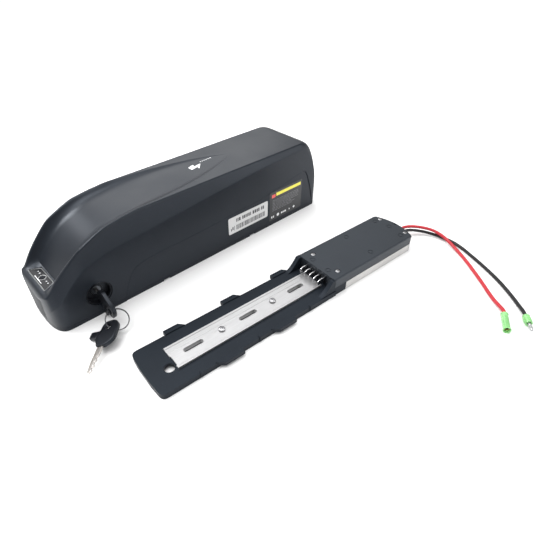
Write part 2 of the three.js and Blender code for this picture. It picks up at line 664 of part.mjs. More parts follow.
function baseTray() {
  const plate = slab(trayOutline(TRAY.x0, BOX.x0 + 3, TRAY.half, TRAY.corner), 0, TRAY.top);
  const boxBase = slab(boxOutline(0, BOX.x0 - 0.5), 0, BOX.split - GAP / 2);
  const saddle = bar("x", SADDLE_R, -80, 400, 0, 3 - SADDLE_R, 32);
  const { x1, half, floor } = SINK_CHAMBER;
  const chamber = block(SINK.x0 + 4, x1, -half, half, floor, 20);
  const sinkSides = [
    block(SINK.x0 - GAP, SINK.x1 + GAP, 28, 40, -1, 20),
    block(SINK.x0 - GAP, SINK.x1 + GAP, -40, -28, -1, 20),
  ];
  const ribs = EDGE_RIB.x.map((x) => {
    const [y0, y1] = [-TRAY.half - EDGE_RIB.out, -TRAY.half + 3];
    return block(x - EDGE_RIB.half, x + EDGE_RIB.half, y0, y1, 2, TRAY.top + 1);
  });
  return cut(
    join(plate, boxBase, wing(1), wing(-1), ...lugs(FAR_LUG, 1), ...lugs(NEAR_LUG, -1), ...ribs),
    saddle,
    chamber,
    ...sinkSides,
    block(BOX.x0 - 0.6, CONTACT_POCKET.x1, -CONTACT_POCKET.half, CONTACT_POCKET.half, TRAY.top, 30),
    bar("z", 6, -5, 20, -34.5, BOLT.y, 16),
    ...slotTools(GAP),
    ...railScrews.map((x) => bar("z", 2.2, 4, 20, x, 0, 8)),
    ...screwPlaces.map(([x, y]) => bar("z", 1.7, 5, 20, x, y, 8)),
    grommetHole(GAP),
  );
}

function railPlate() {
  const { half, bottom, top } = RAIL;
  const section = polygon([
    [-half, bottom], [half, bottom], [half, top], [half - 2.4, top], [half - 3, top - 0.6],
    [8.6, top - 0.6], [8, top], [7.2, top], [6.6, top - 0.4], [-half + 3, top - 0.4],
    [-half + 2.4, top], [-half, top],
  ]);
  const options = { depth: RAIL.x1 - RAIL.x0, bevelEnabled: false };
  const geometry = new THREE.ExtrudeGeometry(section, options);
  geometry.rotateX(Math.PI / 2).rotateZ(Math.PI / 2).translate(RAIL.x0, 0, 0);
  return cut(
    solid(geometry),
    ...slotTools(0),
    ...railScrews.map((x) => bar("z", 2.3, 0, 20, x, 0, 12)),
    block(RAIL.x0 - 1, RAIL.x0 + 1, -12, 2, 0, 20),
  );
}

const panScrew = (x, y, z, headR, shankR, low) =>
  join(bar("z", headR, z, z + 2, x, y, 12, headR * 0.75), bar("z", shankR, low, z + 0.1, x, y, 8));

add(cradle, "base_tray", baseTray(), "case");
add(cradle, "rail_plate", railPlate(), "aluminium");
railScrews.forEach((x, i) => {
  add(cradle, `rail_screw_${i + 1}`, panScrew(x, 0, RAIL.top + GAP, 4, 1.8, 4.5), "steel");
});

// ---- Cradle: controller box ------------------------------------------------------------------

function controllerCover() {
  const bevel = 2;
  const body = join(
    slab(boxOutline(0), BOX.split + GAP / 2, BOX.top - bevel),
    slab(boxOutline(bevel / 2, BOX.x0 - bevel / 2), BOX.top - bevel, BOX.top - bevel / 2),
    slab(boxOutline(bevel, BOX.x0 - bevel), BOX.top - bevel / 2, BOX.top),
  );
  const hollow = slab(boxOutline(BOX.wall + 2, BOX.x0 + 18), BOX.split - 2, BOX.top - BOX.wall);
  const posts = screwPlaces.map(([x, y]) => bar("z", 4, BOX.split + GAP / 2, BOX.top - 1, x, y, 10));
  const pocketHalf = CONTACT_POCKET.half;
  const wingMiddle = BOX.half - WING.thick / 2;
  const wingHalf = WING.thick / 2 + GAP;
  return cut(
    join(body.subtract(hollow), ...posts),
    block(BOX.x0 - 5, BOX.x0 + 20, -pocketHalf, pocketHalf, 5, CONTACT_POCKET.top),
    ...screwPlaces.map(([x, y]) => bar("z", 1.7, 5, 40, x, y, 8)),
    ...screwPlaces.map(([x, y]) => bar("z", 3.4, BOX.top - 1.4, 40, x, y, 12)),
    block(BOX.x1 + 1, BOX.x1 + 3.5, -2.5, 2.5, BOX.top - 1.2, 40),
    ...[wingMiddle, -wingMiddle].map((y) =>
      block(BOX.x0 - 5, BOX.x0 + 1 + GAP, y - wingHalf, y + wingHalf, 5, BOX.top - 1 + GAP),
    ),
    grommetHole(GAP),
  );
}

add(cradle, "controller_cover", controllerCover(), "case");
screwPlaces.forEach(([x, y], i) => {
  const seat = BOX.top - 1.4 + GAP;
  const screw = join(bar("z", 3, seat, seat + 1.2, x, y, 12), bar("z", 1.4, 7, seat + 0.1, x, y, 8));
  add(cradle, `cover_screw_${i + 1}`, screw, "steel");
});

const heatSink = join(
  block(SINK.x0, SINK.x1, -SINK.half, -31, 0.6, SINK.top),
  block(SINK.x0, SINK.x1, 31, SINK.half, 0.6, SINK.top),
  block(SINK.x0 + 6, 327, -29, 29, 3 + GAP, 5.3),
  ...[220, 250, 280, 310].map((x) => block(x, x + 6, -31.5, 31.5, 3 + GAP, 5.3)),
);
add(cradle, "heat_sink", heatSink, "aluminium");

const controllerBoard = join(
  block(212, 324, -26, 26, 7, 8.6),
  bar("z", 6.3, 8.5, 21, 226, 14, 12),
  bar("z", 6.3, 8.5, 21, 226, -2, 12),
  ...steps(6).map((i) => block(246 + 12 * i, 255 + 12 * i, -24, -19.5, 8.5, 20)),
  block(250, 262, 2, 14, 8.5, 10.5),
);
add(cradle, "controller_board", controllerBoard, "board");

const bladeRoot = 192;

function bladeContact(y, grow) {
  const shape = new THREE.Shape();
  shape.moveTo(bladeRoot + grow, BLADE.z0 - grow);
  shape.lineTo(bladeRoot + grow, BLADE.z1 + grow);
  shape.lineTo(BLADE.tip + 5, BLADE.z1 + grow);
  shape.quadraticCurveTo(BLADE.tip, BLADE.z1 - 1, BLADE.tip, BLADE.z0 + 3);
  shape.lineTo(BLADE.tip + 1.5, BLADE.z0 - grow);
  const depth = BLADE.thick + 2 * grow;
  const geometry = new THREE.ExtrudeGeometry(shape, { depth, bevelEnabled: false, curveSegments: 4 });
  return solid(geometry.rotateX(Math.PI / 2).translate(0, y + depth / 2, 0));
}

bladeYs.forEach((y, i) => {
  add(cradle, `blade_contact_${i + 1}`, bladeContact(y, 0), "steel");
});
const terminalBlock = cut(
  block(BOX.x0, CONTACT_POCKET.x1 - 1, -19.4, 19.4, TRAY.top + GAP, TERMINAL_TOP),
  ...bladeYs.map((y) => bladeContact(y, GAP)),
);
add(cradle, "terminal_block", terminalBlock, "black");

// ---- Cradle: leads ---------------------------------------------------------------------------

const grommet = join(
  block(
    GROMMET.x0, GROMMET.x0 + 3, GROMMET.y - GROMMET.half + 1, GROMMET.y + GROMMET.half - 1,
    GROMMET.z - GROMMET.high + 1, GROMMET.z + GROMMET.high - 1,
  ),
  block(
    GROMMET.x0 + 2 + GAP, GROMMET.x1, GROMMET.y - GROMMET.half, GROMMET.y + GROMMET.half,
    GROMMET.z - GROMMET.high, GROMMET.z + GROMMET.high,
  ),
);
add(cradle, "cable_grommet", grommet, "rubber");

const point = ([x, y, z]) => new THREE.Vector3(x, y, z);
const RED_ROUTE = [
  [350.4, -2.6, 13.2], [358, -2.8, 13.4], [367, -5, 13], [377, -11.3, 12.4], [386, -21.5, 11.6],
  [392.2, -34, 10.6], [394, -49, 8.4], [391.2, -64.5, 5.4], [384.1, -84, 3], [374.4, -102, 2.5],
  [361.4, -122, 2.5], [349, -140.2, 2.5], [338, -155.4, 2.5], [330, -167.4, 2.7], [324, -177.2, 3.8],
  [319, -184.3, 4.8], [314.2, -187.6, 4.9],
].map(point);
const BLACK_ROUTE = [
  [350.4, -9.4, 12.8], [358, -9.8, 12.2], [366.5, -11.6, 10.6], [376, -16.6, 8.4], [385.4, -25, 6.4],
  [392.4, -35.4, 4.6], [397.8, -48.2, 3.2], [400.2, -64, 2.5], [397.6, -80, 2.5], [391.8, -97.6, 2.5],
  [385.4, -115.4, 2.5], [378.2, -133, 2.5], [370.1, -150.4, 2.5], [360.6, -167.4, 2.5],
  [351.8, -181, 2.5], [343.4, -192.6, 2.8], [338, -198.4, 4.2], [334.4, -201.8, 4.8], [331, -205, 4.9],
].map(point);

function lead(route) {
  const path = new THREE.CatmullRomCurve3(route, false, "centripetal");
  const section = new THREE.Shape();
  section.absarc(0, 0, LEAD_R, 0, 2 * Math.PI, false);
  const ringPoints = section.getPoints(8).slice(0, -1);
  const options = { steps: LEAD_STEPS, extrudePath: path, bevelEnabled: false };
  return new THREE.ExtrudeGeometry(new THREE.Shape(ringPoints), options);
}

// A profile of [distance along, radius] turned round the line from one point towards another.
function turned(profile, from, towards, sides) {
  const outline = profile.map(([along, r]) => new THREE.Vector2(r, along));
  const geometry = new THREE.LatheGeometry(outline, sides);
  const line = new THREE.Vector3().subVectors(towards, from).normalize();
  const turn = new THREE.Quaternion().setFromUnitVectors(new THREE.Vector3(0, 1, 0), line);
  geometry.applyQuaternion(turn);
  return solid(geometry.translate(from.x, from.y, from.z));
}

add(cradle, "red_lead", lead(RED_ROUTE), "red");
add(cradle, "black_lead", lead(BLACK_ROUTE), "black");

const redEnd = RED_ROUTE.at(-1);
const redAim = new THREE.Vector3(290.6, -203.8, 4.9);
const redSleeve = [
  [GAP, 0], [GAP, SLEEVE_R + 0.6], [2, SLEEVE_R + 0.6], [3.5, SLEEVE_R], [24, SLEEVE_R],
  [25.5, SLEEVE_R + 0.6], [27.5, SLEEVE_R + 0.6], [27.5, 3.2], [6, 3.2], [6, 0],
];
const redSocket = [[6 + GAP, 0], [6 + GAP, 2.8], [25, 2.8], [25, 2], [12, 2], [12, 0]];
add(cradle, "red_sleeve", turned(redSleeve, redEnd, redAim, 14), "green");
add(cradle, "red_socket", turned(redSocket, redEnd, redAim, 14), "copper");

const blackEnd = BLACK_ROUTE.at(-1);
const blackAim = new THREE.Vector3(312.6, -222.2, 4.9);
const blackSleeve = [
  [GAP, 0], [GAP, SLEEVE_R], [1.5, SLEEVE_R + 0.5], [12, SLEEVE_R + 0.5], [13, SLEEVE_R],
  [13, 2.3], [4, 2.3], [4, 0],
];
const blackPin = [
  [4 + GAP, 0], [4 + GAP, 2], [16, 2], [16.8, 1.5], [18, 1.5], [18.8, 2], [23, 2], [24.5, 0.9], [24.5, 0],
];
add(cradle, "black_sleeve", turned(blackSleeve, blackEnd, blackAim, 14), "green");
add(cradle, "black_pin", turned(blackPin, blackEnd, blackAim, 14), "steel");

export default root;
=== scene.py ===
import json
import math

import bmesh
import bpy
import numpy as np
from mathutils import Matrix, Vector


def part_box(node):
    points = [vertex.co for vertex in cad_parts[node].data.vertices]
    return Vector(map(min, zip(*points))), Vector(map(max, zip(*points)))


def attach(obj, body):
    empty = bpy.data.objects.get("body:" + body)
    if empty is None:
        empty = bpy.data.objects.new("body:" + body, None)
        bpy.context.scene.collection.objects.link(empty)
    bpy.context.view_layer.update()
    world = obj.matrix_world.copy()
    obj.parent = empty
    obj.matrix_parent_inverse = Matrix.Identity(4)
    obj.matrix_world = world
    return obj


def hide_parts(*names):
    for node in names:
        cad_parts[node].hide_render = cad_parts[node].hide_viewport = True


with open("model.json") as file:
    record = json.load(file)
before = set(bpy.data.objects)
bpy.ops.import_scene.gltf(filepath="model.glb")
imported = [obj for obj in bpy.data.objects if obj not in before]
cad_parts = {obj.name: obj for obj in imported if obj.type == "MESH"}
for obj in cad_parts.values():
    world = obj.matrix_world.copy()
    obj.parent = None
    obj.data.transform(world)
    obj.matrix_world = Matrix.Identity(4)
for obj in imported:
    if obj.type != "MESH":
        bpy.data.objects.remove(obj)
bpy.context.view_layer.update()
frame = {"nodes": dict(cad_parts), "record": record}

MM = 0.001

# ---- Where things are ----
# All shapes are written in millimetres in one of two frames: the cradle's, with X along the rail
# from its first slot, and the pack's, with X from nose to rear and Y across from its middle.

RAIL_FRONT = -28.0
LOCK_PIVOT = Vector((46.0, -20.0, 0.0))
rail_low, rail_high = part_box("rail_plate")
CRADLE_AT = Vector((rail_low[0] - RAIL_FRONT * MM, (rail_low[1] + rail_high[1]) / 2, 0))
lock_turn = next(j for j in frame["record"]["behaviour"]["joints"] if j["name"] == "lock_turn")
lock_at = Vector(lock_turn["pos_m"])
turn = Matrix.Rotation(math.atan2(-lock_turn["axis"][0], lock_turn["axis"][1]), 4, "Z")
PACK_AT = Vector((lock_at.x, lock_at.y, 0)) - turn @ (LOCK_PIVOT * MM)
CRADLE = Matrix.Translation(CRADLE_AT) @ Matrix.Scale(MM, 4)
PACK = Matrix.Translation(PACK_AT) @ turn @ Matrix.Scale(MM, 4)


def added(name, data):
    """A new object in the scene."""
    obj = bpy.data.objects.new(name, data)
    bpy.context.scene.collection.objects.link(obj)
    return obj


# ---- Camera ----

SENSOR_WIDTH, LENS, CLIP_START = 36, 28.667, 0.01
CAMERA_FROM_CRADLE = Vector((-0.131261, -0.293206, 0.369636))
AZIMUTH, ELEVATION = math.radians(-39.134), math.radians(39.288)

camera = added("camera", bpy.data.cameras.new("camera"))
camera.data.sensor_width = SENSOR_WIDTH
camera.data.lens = LENS
camera.data.clip_start = CLIP_START
camera.location = CRADLE_AT + CAMERA_FROM_CRADLE
back = Vector((
    math.sin(AZIMUTH) * math.cos(ELEVATION),
    -math.cos(AZIMUTH) * math.cos(ELEVATION),
    math.sin(ELEVATION),
))
camera.rotation_mode = "QUATERNION"
camera.rotation_quaternion = (-back).to_track_quat("-Z", "Y")
bpy.context.scene.camera = camera


# ---- Materials ----

COAT_ROUGHNESS, BUMP_DISTANCE, GLOSS_VARY = 0.12, 0.0002, 0.08
NOISE_LOW, NOISE_HIGH = 0.3, 0.7
SPECK_SCALE, SPECK_FROM, SPECK_TO, SPECK_COLOR = 260, 0.02, 0.05, (0.5, 0.5, 0.5)
STREAK_AMOUNT, STREAK_SHADE = 0.35, 0.72


def material(name, color, roughness=0.5, metallic=0.0, specular=0.5, grain=(1500, 0.06), vary=0.12,
             patches=18, streak=None, speck=0.0, coat=0.0, transmission=0.0, sheen=0.0,
             tint=(1.0, 1.0, 1.0)):
    """A surface with fine grain and slow changes of colour and gloss."""
    made = bpy.data.materials.new(name)
    made.use_nodes = True
    nodes, links = made.node_tree.nodes, made.node_tree.links
    shader = nodes["Principled BSDF"]
    shader.inputs["Metallic"].default_value = metallic
    shader.inputs["Specular IOR Level"].default_value = specular
    shader.inputs["Specular Tint"].default_value = (*tint, 1)
    shader.inputs["Coat Weight"].default_value = coat
    shader.inputs["Coat Roughness"].default_value = COAT_ROUGHNESS
    shader.inputs["Transmission Weight"].default_value = transmission
    shader.inputs["Sheen Weight"].default_value = sheen
    spot = nodes.new("ShaderNodeTexCoord").outputs["Object"]
    fine_spot = spot
    if streak:
        stretch = nodes.new("ShaderNodeMapping")
        stretch.inputs["Scale"].default_value = streak
        links.new(spot, stretch.inputs["Vector"])
        fine_spot = stretch.outputs["Vector"]

    def noise(scale, detail, vector):
        node = nodes.new("ShaderNodeTexNoise")
        node.inputs["Scale"].default_value = scale
        node.inputs["Detail"].default_value = detail
        links.new(vector, node.inputs["Vector"])
        return node.outputs["Fac"]

    def spread(value, low, high, first=NOISE_LOW, last=NOISE_HIGH):
        node = nodes.new("ShaderNodeMapRange")
        node.inputs["From Min"].default_value = first
        node.inputs["From Max"].default_value = last
        node.inputs["To Min"].default_value = low
        node.inputs["To Max"].default_value = high
        links.new(value, node.inputs["Value"])
        return node.outputs["Result"]

    def mix(amount, first, second):
        node = nodes.new("ShaderNodeMix")
        node.data_type = "RGBA"
        links.new(amount, node.inputs["Factor"])
        for socket, value in ((node.inputs["A"], first), (node.inputs["B"], second)):
            if isinstance(value, tuple):
                socket.default_value = (*value, 1)
            else:
                links.new(value, socket)
        return node.outputs["Result"]

    darker = tuple(c * (1 - vary) for c in color)
    paler = tuple(min(1.0, c * (1 + vary)) for c in color)
    slow = noise(patches, 3, spot)
    shade = mix(spread(slow, 0, 1), darker, paler)
    fine = noise(grain[0], 2, fine_spot)
    if streak:
        shade = mix(spread(fine, 0, STREAK_AMOUNT), shade, tuple(c * STREAK_SHADE for c in color))
    if speck:
        cells = nodes.new("ShaderNodeTexVoronoi")
        cells.inputs["Scale"].default_value = SPECK_SCALE
        links.new(spot, cells.inputs["Vector"])
        specks = spread(cells.outputs["Distance"], speck, 0, SPECK_FROM, SPECK_TO)
        shade = mix(specks, shade, SPECK_COLOR)
    links.new(shade, shader.inputs["Base Color"])
    gloss = spread(slow, roughness - GLOSS_VARY / 2, roughness + GLOSS_VARY / 2)
    links.new(gloss, shader.inputs["Roughness"])
    bump = nodes.new("ShaderNodeBump")
    bump.inputs["Strength"].default_value = grain[1]
    bump.inputs["Distance"].default_value = BUMP_DISTANCE
    links.new(fine, bump.inputs["Height"])
    links.new(bump.outputs["Normal"], shader.inputs["Normal"])
    return made


COOL = (0.8, 0.88, 1.0)
SURFACES = {
    "shell": dict(
        color=(0.0075, 0.0095, 0.0135), roughness=0.36, specular=0.29, grain=(2400, 0.05),
        speck=0.15, tint=COOL,
    ),
    "tray": dict(
        color=(0.0095, 0.0125, 0.017), roughness=0.46, specular=0.16, grain=(1800, 0.12),
        speck=0.15, tint=COOL,
    ),
    "cover": dict(
        color=(0.015, 0.018, 0.022), roughness=0.45, specular=0.44, grain=(1700, 0.12), speck=0.2,
        tint=COOL,
    ),
    "nose": dict(
        color=(0.0085, 0.0092, 0.0115), roughness=0.5, specular=0.13, grain=(2000, 0.08),
        tint=COOL,
    ),
    "trim": dict(color=(0.16, 0.165, 0.17), roughness=0.4, metallic=0.2, grain=(2000, 0.04)),
    "lens": dict(
        color=(0.008, 0.009, 0.011), roughness=0.25, specular=0.2, grain=(900, 0.01), vary=0.3,
    ),
    "mark": dict(color=(0.82, 0.83, 0.84), roughness=0.5, grain=(2500, 0.05), vary=0.05),
    "rubber": dict(color=(0.012, 0.012, 0.013), roughness=0.7, grain=(1500, 0.2)),
    "black": dict(
        color=(0.006, 0.0068, 0.0088), roughness=0.36, specular=0.34, grain=(2200, 0.08),
        tint=COOL,
    ),
    "ring": dict(color=(0.07, 0.07, 0.075), roughness=0.3, metallic=1, grain=(1400, 0.05), vary=0.15),
    "dark_steel": dict(
        color=(0.11, 0.118, 0.13), roughness=0.34, metallic=1, grain=(1400, 0.05), vary=0.15,
    ),
    "steel": dict(color=(0.72, 0.72, 0.73), roughness=0.24, metallic=1, grain=(1400, 0.05), vary=0.1),
    # The screws' own metal, darkened by painted shade that stands in for cross recesses deeper than the
    # thin heads can hold. The black lead's pin uses it too.
    "screw": dict(color=(0.4, 0.4, 0.41), roughness=0.34, metallic=1, grain=(1400, 0.05), vary=0.15),
    "nickel": dict(
        color=(0.5, 0.475, 0.45), roughness=0.3, metallic=1, streak=(1, 1, 6), grain=(700, 0.1),
        vary=0.15,
    ),
    "rail": dict(
        color=(0.47, 0.47, 0.475), roughness=0.36, metallic=0.85, streak=(0.04, 1, 1),
        grain=(1600, 0.07), vary=0.05,
    ),
    "sink": dict(
        color=(0.55, 0.54, 0.53), roughness=0.45, metallic=0.8, streak=(0.05, 1, 1),
        grain=(1500, 0.1),
    ),
    "copper": dict(color=(0.85, 0.6, 0.35), roughness=0.3, metallic=1, grain=(1400, 0.05)),
    "cell": dict(color=(0.05, 0.22, 0.15), roughness=0.35, grain=(700, 0.05), vary=0.2),
    "board": dict(color=(0.02, 0.12, 0.05), roughness=0.45, grain=(500, 0.2), vary=0.3, patches=120),
    "foam": dict(color=(0.03, 0.03, 0.033), roughness=0.95, grain=(600, 0.8), sheen=0.4),
    "paper": dict(color=(0.6, 0.6, 0.6), roughness=0.5, grain=(2500, 0.05), vary=0.03),
    "film": dict(color=(0.011, 0.012, 0.015), roughness=0.35, coat=0.2, grain=(2500, 0.03)),
    "ink": dict(color=(0.05, 0.05, 0.055), roughness=0.5, grain=(2500, 0.1), vary=0.3, patches=400),
    "grey_ink": dict(color=(0.13, 0.13, 0.14), roughness=0.5, grain=(2500, 0.1), vary=0.3, patches=400),
    "yellow": dict(color=(0.85, 0.76, 0.09), roughness=0.45, grain=(2500, 0.05), vary=0.05),
    "red_ink": dict(color=(0.72, 0.1, 0.09), roughness=0.45, grain=(2500, 0.05), vary=0.05),
    "red": dict(
        color=(0.43, 0.022, 0.032), roughness=0.4, specular=0.3, grain=(900, 0.08), vary=0.1,
        patches=40, coat=0.05,
    ),
    "wire": dict(
        color=(0.008, 0.008, 0.009), roughness=0.42, specular=0.28, grain=(900, 0.08), patches=40,
        coat=0.03,
    ),
    "green": dict(
        color=(0.34, 0.78, 0.29), roughness=0.25, grain=(700, 0.05), vary=0.12, patches=90,
        transmission=0.45, coat=0.3,
    ),
}
LOOKS = {name: material(name, **surface) for name, surface in SURFACES.items()}


# ---- Making pieces ----

def mesh_of(obj):
    """The object's mesh with its modifiers applied."""
    seen = bpy.context.evaluated_depsgraph_get()
    return bpy.data.meshes.new_from_object(obj.evaluated_get(seen), depsgraph=seen)


def bake(obj):
    """Makes the object's modifiers a part of its mesh."""
    bpy.context.view_layer.update()
    mesh = mesh_of(obj)
    obj.modifiers.clear()
    obj.data = mesh


def weld(mesh, reach):
    """Joins the points that lie together and turns every face outwards."""
    form = bmesh.new()
    form.from_mesh(mesh)
    bmesh.ops.remove_doubles(form, verts=form.verts, dist=reach)
    bmesh.ops.recalc_face_normals(form, faces=form.faces)
    form.to_mesh(mesh)
    form.free()


def raw(name, verts, faces):
    mesh = bpy.data.meshes.new(name)
    mesh.from_pydata([tuple(v) for v in verts], [], faces)
    weld(mesh, 1e-4)
    return added(name, mesh)


def merged(name, *objs):
    """One object that holds several closed bodies."""
    form = bmesh.new()
    for obj in objs:
        form.from_mesh(obj.data)
        bpy.data.objects.remove(obj)
    mesh = bpy.data.meshes.new(name)
    form.to_mesh(mesh)
    form.free()
    return added(name, mesh)


def combine(obj, operation, *tools):
    for tool in tools:
        modifier = obj.modifiers.new("combine", "BOOLEAN")
        modifier.operation = operation
        modifier.object = tool
        modifier.solver = "EXACT"
    bake(obj)
    for tool in tools:
        bpy.data.objects.remove(tool)
    return obj


def cut(obj, *tools):
    return combine(obj, "DIFFERENCE", *tools)


def join(obj, *tools):
    return combine(obj, "UNION", *tools)


def common(obj, *tools):
    return combine(obj, "INTERSECT", *tools)


def copy(obj):
    return added(obj.name, obj.data.copy())


def place(obj, matrix, body, look, replaces=(), sharp=32):
    """Moves a piece from its frame in millimetres to its place, and hangs it on its body."""
    mesh = obj.data
    mesh.transform(matrix)
    mesh.materials.clear()
    mesh.materials.append(LOOKS[look])
    mesh.polygons.foreach_set("use_smooth", [True] * len(mesh.polygons))
    mesh.polygons.foreach_set("material_index", [0] * len(mesh.polygons))
    mesh.set_sharp_from_angle(angle=math.radians(sharp))
    even = obj.modifiers.new("even", "WEIGHTED_NORMAL")
    even.keep_sharp = True
    bake(obj)
    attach(obj, body)
    if replaces:
        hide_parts(*replaces)
    return obj


def block(x0, x1, y0, y1, z0, z1):
    verts = [(x, y, z) for x in (x0, x1) for y in (y0, y1) for z in (z0, z1)]
    faces = [(0, 1, 3, 2), (4, 6, 7, 5), (0, 4, 5, 1), (2, 3, 7, 6), (0, 2, 6, 4), (1, 5, 7, 3)]
    return raw("block", verts, faces)


def loft(name, loops):
    """A closed body through loops that all have the same number of points."""
    count = len(loops[0])
    verts = [p for loop in loops for p in loop]
    faces = []
    for i in range(len(loops) - 1):
        a, b = i * count, (i + 1) * count
        faces += [(a + j, a + (j + 1) % count, b + (j + 1) % count, b + j) for j in range(count)]
    last = (len(loops) - 1) * count
    faces += [tuple(range(count)), tuple(range(last, last + count))]
    return raw(name, verts, faces)


def lathe(name, profile, matrix=Matrix(), sides=40):
    """A profile of (radius, height) turned round Z, from axis to axis or closed on itself."""
    open_ended = profile[0][0] < 1e-6 and profile[-1][0] < 1e-6
    rows = profile if open_ended else [*profile, profile[0]]
    verts, faces = [], []
    for r, z in rows:
        for k in range(sides):
            t = 2 * math.pi * k / sides
            verts.append((r * math.cos(t), r * math.sin(t), z))
    for i in range(len(rows) - 1):
        a, b = i * sides, (i + 1) * sides
        faces += [(a + k, a + (k + 1) % sides, b + (k + 1) % sides, b + k) for k in range(sides)]
    obj = raw(name, verts, faces)
    obj.data.transform(matrix)
    return obj


def rod(radius, low, high, matrix=Matrix(), sides=40):
    return lathe("rod", [(0, low), (radius, low), (radius, high), (0, high)], matrix, sides)


def at(x, y, z, axis="z"):
    """A frame at a point whose Z looks along Z or Y."""
    turned = {"z": Matrix(), "y": Matrix.Rotation(-math.pi / 2, 4, "X")}
    return Matrix.Translation((x, y, z)) @ turned[axis]


def plate(name, outlines, z0, z1, bevel=0.0, steps=2):
    """A plate in X and Y with rounded edges; the second outline and later ones are holes."""
    curve = bpy.data.curves.new(name, "CURVE")
    curve.dimensions = "2D"
    curve.fill_mode = "BOTH"
    curve.extrude = (z1 - z0) / 2 - bevel
    curve.bevel_depth = bevel
    curve.bevel_resolution = steps
    curve.offset = -bevel
    for outline in outlines:
        spline = curve.splines.new("POLY")
        spline.points.add(len(outline) - 1)
        for point, (x, y) in zip(spline.points, outline):
            point.co = (x, y, 0, 1)
        spline.use_cyclic_u = True
    shape = added(name, curve)
    bpy.context.view_layer.update()
    mesh = mesh_of(shape)
    bpy.data.objects.remove(shape)
    mesh.transform(Matrix.Translation((0, 0, (z0 + z1) / 2)))
    weld(mesh, 1e-3)
    return added(name, mesh)


def rounded(points, radii, steps=5, closed=True):
    """The points with each corner rounded off by a short curve."""
    points = [np.array(p, float) for p in points]
    count = len(points)
    radii = radii if hasattr(radii, "__len__") else [radii] * count
    made = []
    for i, corner in enumerate(points):
        if not closed and i in (0, count - 1):
            made.append(tuple(corner))
            continue
        before, after = points[i - 1] - corner, points[(i + 1) % count] - corner
        reach = [min(radii[i], 0.45 * np.linalg.norm(v)) for v in (before, after)]
        start = corner + before / max(np.linalg.norm(before), 1e-9) * reach[0]
        end = corner + after / max(np.linalg.norm(after), 1e-9) * reach[1]
        for t in np.linspace(0, 1, steps + 1):
            made.append(tuple((1 - t) ** 2 * start + 2 * t * (1 - t) * corner + t * t * end))
    return made


def circle(x, y, r, sides=32):
    turns = [2 * math.pi * k / sides for k in range(sides)]
    return [(x + r * math.cos(t), y + r * math.sin(t)) for t in turns]


def spline_through(points, steps):
    """Points along a centripetal Catmull-Rom curve."""
    knots = [np.array(p, float) for p in points]
    knots = [2 * knots[0] - knots[1], *knots, 2 * knots[-1] - knots[-2]]
    made = []
    for p0, p1, p2, p3 in zip(knots, knots[1:], knots[2:], knots[3:]):
        t = [0.0]
        for a, b in ((p0, p1), (p1, p2), (p2, p3)):
            t.append(t[-1] + math.sqrt(np.linalg.norm(b - a)))
        for u in np.linspace(t[1], t[2], steps, endpoint=False):
            a1 = (t[1] - u) / (t[1] - t[0]) * p0 + (u - t[0]) / (t[1] - t[0]) * p1
            a2 = (t[2] - u) / (t[2] - t[1]) * p1 + (u - t[1]) / (t[2] - t[1]) * p2
            a3 = (t[3] - u) / (t[3] - t[2]) * p2 + (u - t[2]) / (t[3] - t[2]) * p3
            b1 = (t[2] - u) / (t[2] - t[0]) * a1 + (u - t[0]) / (t[2] - t[0]) * a2
            b2 = (t[3] - u) / (t[3] - t[1]) * a2 + (u - t[1]) / (t[3] - t[1]) * a3
            made.append((t[2] - u) / (t[2] - t[1]) * b1 + (u - t[1]) / (t[2] - t[1]) * b2)
    return [*made, knots[-2]]


def softened(node, width, look, angle=28):
    """A copy of a CAD node with its hard edges rounded off."""
    obj = added(node + "_piece", frame["nodes"][node].data.copy())
    form = bmesh.new()
    form.from_mesh(obj.data)
    bmesh.ops.remove_doubles(form, verts=form.verts, dist=2e-6)
    bmesh.ops.dissolve_limit(form, angle_limit=math.radians(2), verts=form.verts, edges=form.edges)
    form.to_mesh(obj.data)
    form.free()
    bevel = obj.modifiers.new("bevel", "BEVEL")
    bevel.width = width * MM
    bevel.segments = 2
    bevel.limit_method = "ANGLE"
    bevel.angle_limit = math.radians(angle)
    bevel.harden_normals = False
    bake(obj)
    bodies = frame["record"]["behaviour"]["bodies"]
    body = next(name for name, members in bodies.items() if node in members)
    return place(obj, Matrix(), body, look, [node])


# ---- Leads ----

LEAD_R = 2.23
RED_ROUTE = [
    (350.4, -2.6, 13.2), (358, -2.8, 13.4), (367, -5, 13), (377, -11.3, 12.4), (386, -21.5, 11.6),
    (392.2, -34, 10.6), (394, -49, 8.4), (391.2, -64.5, 5.4), (384.1, -84, 3), (374.4, -102, 2.5),
    (361.4, -122, 2.5), (349, -140.2, 2.5), (338, -155.4, 2.5), (330, -167.4, 2.7),
    (324, -177.2, 3.8), (319, -184.3, 4.8), (314.2, -187.6, 4.9),
]
BLACK_ROUTE = [
    (350.4, -9.4, 12.8), (358, -9.8, 12.2), (366.5, -11.6, 10.6), (376, -16.6, 8.4),
    (385.4, -25, 6.4), (392.4, -35.4, 4.6), (397.8, -48.2, 3.2), (400.2, -64, 2.5),
    (397.6, -80, 2.5), (391.8, -97.6, 2.5), (385.4, -115.4, 2.5), (378.2, -133, 2.5),
    (370.1, -150.4, 2.5), (360.6, -167.4, 2.5), (351.8, -181, 2.5), (343.4, -192.6, 2.8),
    (338, -198.4, 4.2), (334.4, -201.8, 4.8), (331, -205, 4.9),
]
RED_AIM = Vector((290.6, -203.8, 4.9))
BLACK_AIM = Vector((312.6, -222.2, 4.9))


def aimed(start, towards):
    """A frame at a point whose Z looks towards another point."""
    start = Vector(start)
    return Matrix.Translation(start) @ (towards - start).to_track_quat("Z", "Y").to_matrix().to_4x4()


